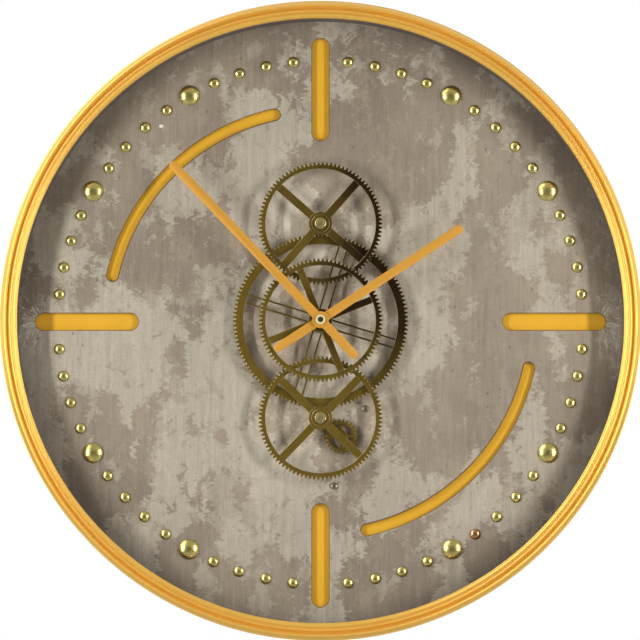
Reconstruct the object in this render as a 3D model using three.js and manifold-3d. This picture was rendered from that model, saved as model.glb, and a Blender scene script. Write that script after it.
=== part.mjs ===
// A round wall clock with a moving gear train on the front of its dial.
// Millimetres. +Z is up, +X is to the right as one looks at the dial, and the dial faces -Y.
// The origin is on the dial's axis, in the plane of the wall.
import * as THREE from 'three';
import { mergeVertices } from 'three/addons/utils/BufferGeometryUtils.js';
import Module from 'manifold-3d';

const wasm = await Module();
wasm.setup();

// Clearances
const GAP = 0.3;
const HAND_GAP = 1.5;
const OVERCUT = 1;

// Case: radii and thicknesses of the rim, the side wall and the plates
const RIM_RADIUS = 300;
const RIM_WIDTH = 16.2;
const RIM_HEIGHT = 8;
const OUTER_BEAD = { in: 4.2, shoulder: 1.4, height: RIM_HEIGHT };
const RIM_GROOVE = { in: 7.2, shoulder: 0.9, height: 4.8 };
const MIDDLE_BEAD = { in: 9.1, height: 6.7 };
const RIM_VALLEY = { in: 11.7, height: 5.4 };
const INNER_BEAD = { in: 13.8, height: 5.9 };
const BEAD_SHOULDER_HEIGHT = 6.6;
const RIM_OUTER_EDGE = 2.4;
const RIM_INNER_EDGE = 3.6;
const RIM_SKIRT = 10;
const SKIRT_WALL = 2.2;
const BAND_WALL = 1.5;
const LIP_WIDTH = 7.5;
const LIP_THICKNESS = 2.5;
const WELL_WALL = 1.5;
const BOARD_THICKNESS = 4;
const BACKING_THICKNESS = 3;
const DIAL_THICKNESS = 2;
const STUD_STRIP_SPACE = 1.8;
const WORKS_DEPTH = 24.4;
const WELL_DEPTH = 24;
const RING_SIDES = 60;

// Dial cut-outs
const SLOT_INSET = 15.8;
const SLOT_LENGTH = 97;
const SLOT_WIDTH = 16.1;
const ARC_SLOT_INSET = 83.3;
const ARC_SLOT_WIDTH = 10.7;
const ARC_SLOT_MARGIN = 11;

// Nails that mark hours and minutes
const STUD_INSET = 37;
const HOUR_STUD_RADIUS = 9.5;
const HOUR_STUD_HEIGHT = 4.6;
const HOUR_STUD_SHANK = 2.6;
const MINUTE_STUD_RADIUS = 5.1;
const MINUTE_STUD_HEIGHT = 2.8;
const MINUTE_STUD_SHANK = 2;
const STUD_SHOULDER = 0.7;
const STUD_STRIP_WIDTH = 8;
const STUD_STRIP_END = 4;
const STRIP_BITE = 0.6;

// Gear train
const MODULE = 1.27;
const BIG_TEETH = 128;
const WHEEL_TEETH = 90;
const PINION_TEETH = 16;
const MOTOR_TEETH = 24;
const WHEEL_THICKNESS = 2;
const MOTOR_GEAR_THICKNESS = 2.2;
const RING_BAND = 3.9;
const BIG_RING_BAND = 7.1;
const SPOKE_WIDTH = 7.4;
const CENTRE_SPOKE_WIDTH = 6.6;
const BIG_SPOKE_BAR = 1.8;
const BIG_SPOKE_SPREAD = 8;
const WHEEL_HUB_RADIUS = 11;
const WHEEL_BOSS_RADIUS = 8.4;
const WHEEL_BOSS_HEIGHT = 0.8;
const BIG_HUB_RADIUS = 11;
const CENTRE_SPOKE_ANGLE = 22;
const BIG_SPOKE_ANGLE = 73;
const TOP_SPOKE_ANGLE = 48.5;
const BOTTOM_SPOKE_ANGLE = 46;
const MOTOR_GEAR_DIRECTION = -40.9;
const BIG_WHEEL_PLANE = 6.2;
const SIDE_WHEEL_PLANE = 11.5;
const CENTRE_WHEEL_PLANE = 17;
const MOTOR_GEAR_PLANE = 2;
const ARBOR_RADIUS = 5.3;
const ARBOR_END = 2;
const ARBOR_CHAMFER = 0.5;
const ARBOR_COLLAR_RADIUS = 7;
const PIVOT_RADIUS = 2.5;
const BEARING_RADIUS = 4.2;
const BEARING_FLANGE_RADIUS = 7;
const BEARING_FLANGE = 1.1;
const MOTOR_SHAFT_RADIUS = 2.5;
const MOTOR_HUB_RADIUS = 6;
const MOTOR_HUB_HEIGHT = 0.8;
const MOTOR_RING_BAND = 2.2;
const MOTOR_SPOKE_WIDTH = 3;
const SHAFT_IN_MOTOR = 7;
const PINION_OVERHANG = 0.8;
const PINION_ADDENDUM = 0.8;
const PINION_TOOTH_SHARE = 0.4;
const HUB_BITE = 0.5;

// Hands: time 1:53
const HAND_WIDTH = 8.4;
const HAND_BOSS_RADIUS = 7.8;
const HAND_THICKNESS = 1.5;
const MINUTE_LENGTH = 204;
const MINUTE_TAIL = 49;
const MINUTE_ANGLE = 133.5;
const HOUR_LENGTH = 159;
const HOUR_TAIL = 51.5;
const HOUR_ANGLE = 33.3;
const HAND_NUT_RADIUS = 4.5;
const HAND_NUT_HEIGHT = 2.2;
const HAND_NUT_CHAMFER = 0.4;
const HAND_NUT_DISH = 2.7;
const HAND_NUT_DISH_DEPTH = 0.9;

// Movement behind the dial
const NECK_RADIUS = 5;
const NECK_FLANGE_RADIUS = 8;
const NECK_FLANGE = 1.2;
const HOUR_TUBE_RADIUS = 3.3;
const MINUTE_ARBOR_RADIUS = 1.8;
const RUNNING_GAP = 0.4;
const WASHER_RADIUS = 10;
const WASHER_THICKNESS = 1;
const NECK_NUT_RADIUS = 9;
const NECK_NUT_HEIGHT = 3;
const HUB_FLANGE_RADIUS = 11;
const HUB_BIG_SEAT = 8.7;
const HUB_WAIST = 7.6;
const HUB_CENTRE_SEAT = 6.7;
const MOVEMENT_SIZE = 56;
const MOVEMENT_DEPTH = 17;
const MOVEMENT_WALL = 1.8;
const COVER_THICKNESS = 1.5;
const HOUR_WHEEL_RADIUS = 8.6;
const MINUTE_WHEEL_RADIUS = 8;
const INNER_WHEEL_THICKNESS = 1.5;
const KNOB_RADIUS = 7;
const KNOB_HEIGHT = 3.4;
const KNOB_SHAFT_RADIUS = 2;
const KNOB_OFFSET = 14;
const KNOB_FLUTES = 12;
const KNOB_FLUTE_DEPTH = 0.8;
const KNOB_SHAFT_REACH = 6;
const TUBE_PROUD = 0.6;
const NECK_PROUD = 0.7;

// AA cells
const CELL_RADIUS = 7.25;
const CELL_LENGTH = 49.3;
const CELL_NUB = 1.2;
const CELL_NUB_RADIUS = 2.75;
const CELL_PLAY = 0.5;

// Gear motor box
const HOUSING_LEFT = -15;
const HOUSING_RIGHT = 59;
const HOUSING_TOP = -77;
const HOUSING_WALL = 2;
const HOUSING_FRONT = 3;
const MOTOR_BAY = 46;
const DOOR_PIN_RADIUS = 0.75;
const DOOR_PIN_LENGTH = 1.4;
const DOOR_THICKNESS = 1.5;
const DOOR_SWING_ROOM = 1.8;
const DOOR_PIN_SETBACK = 1.2;
const GEAR_MOTOR = { left: 4, right: 35, bottom: -121, top: -96, canLength: 19, canRadius: 7 };
const SWITCH = { left: 2, bottom: -92, width: 20, height: 10, depth: 8.5 };
const SLIDER = { length: 8, height: 5, thickness: 1.2, knob: 3, knobHeight: 4, travel: 4, proud: 1.5 };
const SCREW_UPPER = { x: 42, z: -82 };
const SCREW_LOWER = { x: 12.8, z: -154.7 };
const SCREW_HEAD_RADIUS = 3.3;
const SCREW_HEAD_HEIGHT = 1.9;
const SCREW_DOME = { shoulder: 0.9, shoulderHeight: 0.5, crown: 0.5, crownHeight: 0.9 };
const SCREW_RADIUS = 1.5;
const SCREW_BOSS_RADIUS = 4;
const SCREW_BOSS_DEPTH = 9;

// Board, spacers and hanger
const STANDOFF_INSET = 63.7;
const STANDOFF_ANGLES = [45, 165, 285];
const STANDOFF_RADIUS = 5;
const STANDOFF_SPIGOT = 2.4;
const BACK_SCREW_LENGTH = 9;
const BACK_SCREW_HEAD = 3.2;
const BACK_SCREW_HEAD_TOP = 2.2;
const BACK_SCREW_HEAD_EDGE = 0.5;
const BACK_SCREW_HEAD_HEIGHT = 1.5;
const WINDOW_MARGIN = 8;
const DOOR_MARGIN = 3;
const HANGER = { rise: 6, width: 62, height: 38, thickness: 1.2, screwInset: 7 };
const KEYHOLE = { radius: 5.5, slot: 5, rise: 13, inset: 56.7 };
const KEYHOLE_POCKET = 8;
const HANGER_SCREW_HEAD = 2.8;
const HANGER_SCREW_HEAD_HEIGHT = 0.8;

// Depths along Y, worked out from the wall forwards (towards -Y)
const LIP_FRONT = -LIP_THICKNESS;
const BOARD_BACK = LIP_FRONT - GAP;
const BOARD_FRONT = BOARD_BACK - BOARD_THICKNESS;
const BACKING_BACK = BOARD_FRONT - WORKS_DEPTH;
const BACKING_FRONT = BACKING_BACK - BACKING_THICKNESS;
const DIAL_BACK = BACKING_FRONT - STUD_STRIP_SPACE;
const DIAL_FRONT = DIAL_BACK - DIAL_THICKNESS;
const WORKS_FRONT = BACKING_BACK + GAP;
const BEZEL_BACK = DIAL_FRONT - WELL_DEPTH;
const WASHER_FRONT = DIAL_FRONT - GAP - WASHER_THICKNESS;
const NECK_NUT_FRONT = WASHER_FRONT - GAP - NECK_NUT_HEIGHT;
const HUB_BACK = NECK_NUT_FRONT - GAP;
const HUB_FRONT = DIAL_FRONT - CENTRE_WHEEL_PLANE - WHEEL_THICKNESS - GAP;
const NECK_FRONT = HUB_FRONT - NECK_PROUD;
const HOUR_HAND_BACK = NECK_FRONT - HAND_GAP;
const MINUTE_HAND_BACK = HOUR_HAND_BACK - HAND_THICKNESS - HAND_GAP;
const NUT_FRONT = MINUTE_HAND_BACK - HAND_THICKNESS - GAP - HAND_NUT_HEIGHT;
const PINION_FRONT = DIAL_FRONT - BIG_WHEEL_PLANE - WHEEL_THICKNESS - PINION_OVERHANG;
const CASE_FLOOR = WORKS_FRONT + MOVEMENT_WALL;
const CASE_BACK = WORKS_FRONT + MOVEMENT_DEPTH;
const HOUR_WHEEL_FRONT = CASE_FLOOR + GAP + NECK_FLANGE + GAP;
const HOUSING_FLOOR = WORKS_FRONT + HOUSING_FRONT;
const COVER_FRONT = HOUSING_FLOOR + GAP + 2 * CELL_RADIUS + CELL_PLAY;
const HOUSING_BACK = COVER_FRONT + COVER_THICKNESS;
const SHAFT_BACK = HOUSING_FLOOR + GAP + SHAFT_IN_MOTOR;

// Heights and widths of the gear motor box, worked out from its top and sides
const HOUSING_MIDDLE = (HOUSING_LEFT + HOUSING_RIGHT) / 2;
const MOTOR_BAY_BOTTOM = HOUSING_TOP - HOUSING_WALL - MOTOR_BAY;
const CELL_BAY_TOP = MOTOR_BAY_BOTTOM - HOUSING_WALL;
const UPPER_CELL_Z = CELL_BAY_TOP - GAP - CELL_RADIUS;
const LOWER_CELL_Z = UPPER_CELL_Z - 2 * CELL_RADIUS - CELL_PLAY;
const CELL_BAY_BOTTOM = LOWER_CELL_Z - CELL_RADIUS - GAP;
const HOUSING_BOTTOM = CELL_BAY_BOTTOM - HOUSING_WALL;
const CELL_BAY_LEFT = HOUSING_MIDDLE - (CELL_LENGTH + CELL_NUB) / 2 - CELL_PLAY;
const CELL_BAY_RIGHT = HOUSING_MIDDLE + (CELL_LENGTH + CELL_NUB) / 2 + CELL_PLAY;
const DOOR_AXIS_Z = CELL_BAY_TOP - DOOR_PIN_SETBACK;
const DOOR_AXIS_Y = HOUSING_BACK - DOOR_THICKNESS / 2;
const SLIDER_CENTRE = {
  x: SWITCH.left + SWITCH.width / 2 - SLIDER.travel / 2,
  z: SWITCH.bottom + SWITCH.height / 2,
};

// Radii worked out from the rim inwards
const RIM_INNER = RIM_RADIUS - RIM_WIDTH;
const BAND_OUTER = RIM_RADIUS - SKIRT_WALL - GAP;
const BAND_INNER = BAND_OUTER - BAND_WALL;
const PLATE_RADIUS = BAND_INNER - GAP;
const WELL_OUTER = RIM_INNER + WELL_WALL;
const SLOT_OUTER = RIM_INNER - SLOT_INSET;
const SLOT_INNER = SLOT_OUTER - SLOT_LENGTH;
const ARC_SLOT_RADIUS = RIM_INNER - ARC_SLOT_INSET;
const STUD_CIRCLE = RIM_INNER - STUD_INSET;
const STANDOFF_CIRCLE = PLATE_RADIUS - STANDOFF_INSET;
const KEYHOLE_Z = PLATE_RADIUS - KEYHOLE.inset;
const HANGER_Z = KEYHOLE_Z + HANGER.rise;
const HANGER_SCREW_X = HANGER.width / 2 - HANGER.screwInset;

// Gear places
const pitchRadius = (teeth) => (MODULE * teeth) / 2;
const tipRadius = (teeth) => pitchRadius(teeth) + MODULE;
const rootRadius = (teeth) => pitchRadius(teeth) - 1.25 * MODULE;
const ARBOR_DISTANCE = pitchRadius(BIG_TEETH) + pitchRadius(PINION_TEETH);
const MOTOR_DISTANCE = pitchRadius(PINION_TEETH) + pitchRadius(MOTOR_TEETH);

const COLOURS = {
  rim: { color: 0xe8af4b, roughness: 0.28, metalness: 1 },
  gold: { color: 0xdb9e3a, roughness: 0.35, metalness: 1 },
  bronze: { color: 0x695520, roughness: 0.45, metalness: 1 },
  brass: { color: 0xa0963c, roughness: 0.25, metalness: 1 },
  dial: { color: 0xa0917d, roughness: 0.8, metalness: 0 },
  well: { color: 0x695f55, roughness: 0.7, metalness: 0 },
  steel: { color: 0xb8b8b4, roughness: 0.35, metalness: 1 },
  board: { color: 0x4a3a2a, roughness: 0.85, metalness: 0 },
  plastic: { color: 0x1c1c1e, roughness: 0.5, metalness: 0 },
  ivory: { color: 0xe8e2d0, roughness: 0.45, metalness: 0 },
  cell: { color: 0x2c5c8a, roughness: 0.35, metalness: 0.4 },
};

const clock = new THREE.Group();

// Turning helpers

const radians = THREE.MathUtils.degToRad;

function polar(radius, degrees) {
  const angle = radians(degrees);
  return new THREE.Vector2(radius * Math.cos(angle), radius * Math.sin(angle));
}

function steps(first, last, count) {
  return Array.from({ length: count + 1 }, (_, i) => first + ((last - first) * i) / count);
}

// Outlines, drawn as the viewer sees them: x to the right, y up

function arc(radius, from, to, count, centre = new THREE.Vector2()) {
  return steps(from, to, count).map((degrees) => polar(radius, degrees).add(centre));
}

function circle(radius, sides, x = 0, z = 0) {
  return arc(radius, 0, 360, sides, new THREE.Vector2(x, z)).slice(0, sides);
}

function box(left, bottom, right, top) {
  return [
    new THREE.Vector2(left, bottom),
    new THREE.Vector2(right, bottom),
    new THREE.Vector2(right, top),
    new THREE.Vector2(left, top),
  ];
}

function square(size, x, z) {
  return box(x - size / 2, z - size / 2, x + size / 2, z + size / 2);
}

// A bar with round ends that lies along one direction, from tip to tip
function stadium(from, to, width, degrees, sides = 6) {
  const half = width / 2;
  const far = polar(to - half, degrees);
  const near = polar(from + half, degrees);
  return [
    ...arc(half, degrees - 90, degrees + 90, sides, far),
    ...arc(half, degrees + 90, degrees + 270, sides, near),
  ];
}

// A curved bar with round ends, from tip to tip
function curvedStadium(radius, width, from, to, sides = 12) {
  const half = width / 2;
  const cap = THREE.MathUtils.radToDeg(half / radius);
  const first = from + cap;
  const last = to - cap;
  return [
    ...arc(radius + half, first, last, sides),
    ...arc(half, last, last + 180, 6, polar(radius, last)).slice(1, 6),
    ...arc(radius - half, last, first, sides),
    ...arc(half, first + 180, first + 360, 6, polar(radius, first)).slice(1, 6),
  ];
}

// One turn of pointed teeth. The share is the part of a pitch that a tooth fills at its root.
function teethOutline(teeth, tip, root, share, phase) {
  const pitch = 360 / teeth;
  const points = [];
  for (let i = 0; i < teeth; i += 1) {
    const middle = phase + i * pitch;
    points.push(polar(root, middle - (pitch * share) / 2));
    points.push(polar(tip, middle));
    if (share < 1) points.push(polar(root, middle + (pitch * share) / 2));
  }
  return points;
}

// The window between two neighbouring spokes, whose centre lines stand at two angles
function spokeWindow(inner, outer, spokeWidth, from, to, sides) {
  const inset = (radius) => THREE.MathUtils.radToDeg(Math.asin(spokeWidth / 2 / radius));
  return [
    ...arc(outer, from + inset(outer), to - inset(outer), sides),
    ...arc(inner, to - inset(inner), from + inset(inner), Math.ceil(sides / 2)),
  ];
}

// Solids

// A closed mesh with shared corners, and none of the faces that a pole has collapsed
function closedMesh(geometry) {
  const bare = geometry.index ? geometry.toNonIndexed() : geometry.clone();
  bare.deleteAttribute('normal');
  bare.deleteAttribute('uv');
  const merged = mergeVertices(bare, 1e-4);
  const index = merged.index.array;
  const kept = [];
  for (let i = 0; i < index.length; i += 3) {
    const corners = [index[i], index[i + 1], index[i + 2]];
    if (new Set(corners).size === 3) kept.push(...corners);
  }
  return { positions: merged.attributes.position.array, triangles: kept };
}

function solid(geometry) {
  const { positions, triangles } = closedMesh(geometry);
  return new wasm.Manifold(new wasm.Mesh({
    numProp: 3,
    vertProperties: new Float32Array(positions),
    triVerts: new Uint32Array(triangles),
  }));
}

// A plate cut from sheet: the outline, with its holes, from one depth to another
function plate(outline, holes, back, front) {
  const shape = new THREE.Shape(outline);
  shape.holes = holes.map((points) => new THREE.Path(points));
  const geometry = new THREE.ExtrudeGeometry(shape, {
    depth: back - front,
    bevelEnabled: false,
    steps: 1,
  });
  return solid(geometry.rotateX(Math.PI / 2).translate(0, back, 0));
}

// A piece turned round the Y axis, from a profile of [radius, depth] points.
// A profile that doesn't touch the axis closes on itself, which makes a ring.
function turned(profile, sides, x = 0, z = 0) {
  const onAxis = profile[0][0] === 0 && profile[profile.length - 1][0] === 0;
  const loop = onAxis ? profile : [...profile, profile[0]];
  const points = loop.map(([radius, depth]) => new THREE.Vector2(radius, depth));
  if (THREE.ShapeUtils.area(points) < 0) points.reverse();
  return solid(new THREE.LatheGeometry(points, sides).translate(x, 0, z));
}

function cylinder(radius, back, front, sides = 16, x = 0, z = 0) {
  return turned([[0, back], [radius, back], [radius, front], [0, front]], sides, x, z);
}

function tube(outer, inner, back, front, sides = 16) {
  return turned([[inner, back], [outer, back], [outer, front], [inner, front]], sides);
}

function block(left, bottom, right, top, back, front) {
  const geometry = new THREE.BoxGeometry(right - left, back - front, top - bottom);
  return solid(geometry.translate((left + right) / 2, (back + front) / 2, (bottom + top) / 2));
}

// A rod along X
function rod(radius, from, to, y, z, sides = 16) {
  const geometry = new THREE.CylinderGeometry(radius, radius, to - from, sides);
  return solid(geometry.rotateZ(Math.PI / 2).translate((from + to) / 2, y, z));
}

function toGeometry(manifold) {
  const { vertProperties, triVerts } = manifold.getMesh();
  const geometry = new THREE.BufferGeometry();
  geometry.setAttribute('position', new THREE.BufferAttribute(new Float32Array(vertProperties), 3));
  geometry.setIndex(Array.from(triVerts));
  geometry.computeVertexNormals();
  return geometry;
}

// Names a piece, gives it its material and puts it in a group
function addPiece(parent, name, finish, shape, x = 0, z = 0) {
  const geometry = shape.isBufferGeometry ? shape : toGeometry(shape);
  const mesh = new THREE.Mesh(geometry, new THREE.MeshStandardMaterial(COLOURS[finish]));
  mesh.name = name;
  mesh.position.set(x, 0, z);
  parent.add(mesh);
  return mesh;
}

// Gear places that several pieces share

// Phase of a wheel that meshes with another one which lies in the given direction from it
function meshedPhase(teethA, phaseA, direction, teethB) {
  const pitchA = 360 / teethA;
  const lead = (phaseA - direction) % pitchA;
  return direction + 180 - (lead * teethA) / teethB + 180 / teethB;
}

const BIG_PHASE = 0;
const TOP_PHASE = meshedPhase(BIG_TEETH, BIG_PHASE, 90, PINION_TEETH);
const BOTTOM_PHASE = meshedPhase(BIG_TEETH, BIG_PHASE, -90, PINION_TEETH);
const MOTOR_PHASE = meshedPhase(PINION_TEETH, BOTTOM_PHASE, MOTOR_GEAR_DIRECTION, MOTOR_TEETH);
const PIVOTS = [new THREE.Vector2(0, ARBOR_DISTANCE), new THREE.Vector2(0, -ARBOR_DISTANCE)];
const MOTOR_AXIS = polar(MOTOR_DISTANCE, MOTOR_GEAR_DIRECTION).add(PIVOTS[1]);
const STANDOFFS = STANDOFF_ANGLES.map((degrees) => polar(STANDOFF_CIRCLE, degrees));
const SCREWS = [SCREW_UPPER, SCREW_LOWER];
const BEARING_HOLE = BEARING_RADIUS + GAP;
const NECK_HOLE = NECK_RADIUS + GAP;
const SHAFT_HOLE = MOTOR_SHAFT_RADIUS + 2 * GAP;
const SCREW_HOLE = SCREW_RADIUS + GAP;

// Holes that pass through both the dial and the plate behind it
function sharedHoles() {
  return [
    circle(NECK_HOLE, 16),
    ...PIVOTS.map(({ x, y }) => circle(BEARING_HOLE, 12, x, y)),
    circle(SHAFT_HOLE, 12, MOTOR_AXIS.x, MOTOR_AXIS.y),
    ...SCREWS.map(({ x, z }) => circle(SCREW_HOLE, 8, x, z)),
  ];
}

// Case

// Section of the rim: an outer bead, a groove and two finer beads towards the dial
function bezelRing() {
  const inwards = (distance) => RIM_RADIUS - distance;
  const raised = (height) => BEZEL_BACK - height;
  const profile = [
    [RIM_RADIUS, BEZEL_BACK + RIM_SKIRT],
    [RIM_RADIUS, raised(RIM_OUTER_EDGE)],
    [inwards(OUTER_BEAD.shoulder), raised(BEAD_SHOULDER_HEIGHT)],
    [inwards(OUTER_BEAD.in), raised(OUTER_BEAD.height)],
    [inwards(RIM_GROOVE.in - RIM_GROOVE.shoulder), raised(BEAD_SHOULDER_HEIGHT)],
    [inwards(RIM_GROOVE.in), raised(RIM_GROOVE.height)],
    [inwards(MIDDLE_BEAD.in), raised(MIDDLE_BEAD.height)],
    [inwards(RIM_VALLEY.in), raised(RIM_VALLEY.height)],
    [inwards(INNER_BEAD.in), raised(INNER_BEAD.height)],
    [RIM_INNER, raised(RIM_INNER_EDGE)],
    [RIM_INNER, BEZEL_BACK],
    [RIM_RADIUS - SKIRT_WALL, BEZEL_BACK],
    [RIM_RADIUS - SKIRT_WALL, BEZEL_BACK + RIM_SKIRT],
  ];
  addPiece(clock, 'bezel_ring', 'rim', turned(profile, RING_SIDES));
}

function sideBand() {
  const front = BEZEL_BACK + GAP;
  const profile = [
    [BAND_OUTER - LIP_WIDTH, 0],
    [BAND_OUTER, 0],
    [BAND_OUTER, front],
    [BAND_INNER, front],
    [BAND_INNER, LIP_FRONT],
    [BAND_OUTER - LIP_WIDTH, LIP_FRONT],
  ];
  addPiece(clock, 'side_band', 'rim', turned(profile, RING_SIDES));
}

function wellRing() {
  const ring = tube(WELL_OUTER, RIM_INNER, DIAL_FRONT - GAP, BEZEL_BACK + GAP, RING_SIDES);
  addPiece(clock, 'well_ring', 'well', ring);
}

// Dial and the plates behind it

function minuteAngles() {
  return steps(0, 59, 59).filter((minute) => minute % 5 !== 0).map((minute) => 90 - 6 * minute);
}

const HOURS_WITH_STUDS = [1, 2, 4, 5, 7, 8, 10, 11];
const hourAngle = (hour) => 90 - 30 * hour;

function dialPlate() {
  const slots = [0, 90, 180, 270].map((degrees) => stadium(SLOT_INNER, SLOT_OUTER, SLOT_WIDTH, degrees));
  const arcSlots = [90, 270].map((degrees) => curvedStadium(
    ARC_SLOT_RADIUS,
    ARC_SLOT_WIDTH,
    degrees + ARC_SLOT_MARGIN,
    degrees + 90 - ARC_SLOT_MARGIN,
  ));
  const minuteHoles = minuteAngles().map((degrees) => {
    const { x, y } = polar(STUD_CIRCLE, degrees);
    return square(MINUTE_STUD_SHANK + 2 * GAP, x, y);
  });
  const hourHoles = HOURS_WITH_STUDS.map((hour) => {
    const { x, y } = polar(STUD_CIRCLE, hourAngle(hour));
    return square(HOUR_STUD_SHANK + 2 * GAP, x, y);
  });
  const holes = [...sharedHoles(), ...slots, ...arcSlots, ...minuteHoles, ...hourHoles];
  const dial = plate(circle(PLATE_RADIUS, RING_SIDES), holes, DIAL_BACK, DIAL_FRONT);
  addPiece(clock, 'dial_plate', 'dial', dial);
}

function backingPlate() {
  const spigots = STANDOFFS.map(({ x, y }) => circle(STANDOFF_SPIGOT + GAP, 8, x, y));
  const holes = [...sharedHoles(), ...spigots];
  const backing = plate(circle(PLATE_RADIUS, RING_SIDES), holes, BACKING_BACK, BACKING_FRONT);
  addPiece(clock, 'backing_plate', 'gold', backing);
}

// A domed nail head that stands on the dial
function studHead(radius, height, sides, x = 0, z = 0) {
  const seat = DIAL_FRONT - GAP;
  return turned([
    [0, seat],
    [radius, seat],
    [radius * STUD_SHOULDER, seat - height * STUD_SHOULDER],
    [0, seat - height],
  ], sides, x, z);
}

function hourStuds() {
  const inHead = DIAL_FRONT - HOUR_STUD_HEIGHT / 2;
  const shank = plate(square(HOUR_STUD_SHANK, 0, 0), [], BACKING_FRONT - GAP, inHead);
  const stud = toGeometry(studHead(HOUR_STUD_RADIUS, HOUR_STUD_HEIGHT, 10).add(shank));
  HOURS_WITH_STUDS.forEach((hour) => {
    const { x, y } = polar(STUD_CIRCLE, hourAngle(hour));
    addPiece(clock, `hour_stud_${hour}`, 'brass', stud, x, y);
  });
}

// Twelve small nails of one quarter stand on a thin strip, hidden between dial and backing plate
function minuteStuds() {
  const quarters = { upper_right: 0, lower_right: 270, lower_left: 180, upper_left: 90 };
  const inHead = DIAL_FRONT - MINUTE_STUD_HEIGHT / 2;
  const half = STUD_STRIP_WIDTH / 2;
  Object.entries(quarters).forEach(([name, start]) => {
    const first = start + STUD_STRIP_END;
    const last = start + 90 - STUD_STRIP_END;
    const strip = [
      ...arc(STUD_CIRCLE + half, first, last, 12),
      ...arc(STUD_CIRCLE - half, last, first, 12),
    ];
    const holes = [start + 30, start + 60].map((degrees) => {
      const { x, y } = polar(STUD_CIRCLE, degrees);
      return square(HOUR_STUD_SHANK + 2 * GAP, x, y);
    });
    let studs = plate(strip, holes, BACKING_FRONT - GAP, DIAL_BACK + GAP);
    const inQuarter = (degrees) => (degrees - start + 720) % 360 < 90;
    minuteAngles().filter(inQuarter).forEach((degrees) => {
      const { x, y } = polar(STUD_CIRCLE, degrees);
      const shank = plate(square(MINUTE_STUD_SHANK, x, y), [], DIAL_BACK + GAP + STRIP_BITE, inHead);
      studs = studs.add(shank).add(studHead(MINUTE_STUD_RADIUS, MINUTE_STUD_HEIGHT, 6, x, y));
    });
    addPiece(clock, `minute_studs_${name}`, 'brass', studs);
  });
}

// Rear board, its spacers and screws, and the hanger

function backBoard() {
  const movementHalf = MOVEMENT_SIZE / 2 + WINDOW_MARGIN;
  const movementWindow = box(-movementHalf, -movementHalf, movementHalf, movementHalf);
  const motorWindow = box(
    HOUSING_LEFT - DOOR_MARGIN,
    HOUSING_BOTTOM - DOOR_MARGIN,
    HOUSING_RIGHT + DOOR_MARGIN,
    HOUSING_TOP + DOOR_MARGIN,
  );
  const pocketTop = KEYHOLE_Z + KEYHOLE.rise + KEYHOLE_POCKET;
  const pocket = box(-KEYHOLE_POCKET, KEYHOLE_Z - KEYHOLE_POCKET, KEYHOLE_POCKET, pocketTop);
  const screws = STANDOFFS.map(({ x, y }) => circle(SCREW_HOLE, 8, x, y));
  const hangerScrews = [-1, 1].map((side) => circle(SCREW_HOLE, 8, side * HANGER_SCREW_X, HANGER_Z));
  const holes = [movementWindow, motorWindow, pocket, ...screws, ...hangerScrews];
  const board = plate(circle(PLATE_RADIUS, RING_SIDES), holes, BOARD_BACK, BOARD_FRONT);
  addPiece(clock, 'back_board', 'board', board);
}

function standoffs() {
  const seat = BOARD_FRONT - GAP;
  const bore = seat - BACK_SCREW_LENGTH - GAP;
  const spacer = toGeometry(turned([
    [0, bore],
    [SCREW_HOLE, bore],
    [SCREW_HOLE, seat],
    [STANDOFF_RADIUS, seat],
    [STANDOFF_RADIUS, WORKS_FRONT],
    [STANDOFF_SPIGOT, WORKS_FRONT],
    [STANDOFF_SPIGOT, BACKING_FRONT + GAP],
    [0, BACKING_FRONT + GAP],
  ], 8));
  const underHead = BOARD_BACK + GAP;
  const screw = toGeometry(turned([
    [0, underHead + BACK_SCREW_HEAD_HEIGHT],
    [BACK_SCREW_HEAD_TOP, underHead + BACK_SCREW_HEAD_HEIGHT],
    [BACK_SCREW_HEAD, underHead + BACK_SCREW_HEAD_EDGE],
    [BACK_SCREW_HEAD, underHead],
    [SCREW_RADIUS, underHead],
    [SCREW_RADIUS, seat - BACK_SCREW_LENGTH],
    [0, seat - BACK_SCREW_LENGTH],
  ], 8));
  STANDOFFS.forEach(({ x, y }, i) => {
    addPiece(clock, `standoff_${i + 1}`, 'steel', spacer, x, y);
    addPiece(clock, `back_screw_${i + 1}`, 'steel', screw, x, y);
  });
}

// The head of the wall screw goes in at the round part and the slot comes down on its neck
function keyholeOutline() {
  const { radius, slot, rise } = KEYHOLE;
  const half = slot / 2;
  const shoulder = THREE.MathUtils.radToDeg(Math.acos(half / radius));
  return [
    ...arc(radius, 180 - shoulder, 360 + shoulder, 12, new THREE.Vector2(0, KEYHOLE_Z)),
    ...arc(half, 0, 180, 6, new THREE.Vector2(0, KEYHOLE_Z + rise)),
  ];
}

function hanger() {
  const { width, height, thickness } = HANGER;
  const front = BOARD_BACK + GAP;
  const back = front + thickness;
  const screwHoles = [-1, 1].map((side) => circle(SCREW_HOLE, 8, side * HANGER_SCREW_X, HANGER_Z));
  const outline = box(-width / 2, HANGER_Z - height / 2, width / 2, HANGER_Z + height / 2);
  addPiece(clock, 'hanger_plate', 'steel', plate(outline, [keyholeOutline(), ...screwHoles], back, front));
  const underHead = back + GAP;
  const screw = toGeometry(turned([
    [0, underHead + HANGER_SCREW_HEAD_HEIGHT],
    [HANGER_SCREW_HEAD, underHead + HANGER_SCREW_HEAD_HEIGHT],
    [HANGER_SCREW_HEAD, underHead],
    [SCREW_RADIUS, underHead],
    [SCREW_RADIUS, BOARD_FRONT + GAP],
    [0, BOARD_FRONT + GAP],
  ], 8));
  addPiece(clock, 'hanger_screw_left', 'steel', screw, -HANGER_SCREW_X, HANGER_Z);
  addPiece(clock, 'hanger_screw_right', 'steel', screw, HANGER_SCREW_X, HANGER_Z);
}

// Gear train

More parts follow.
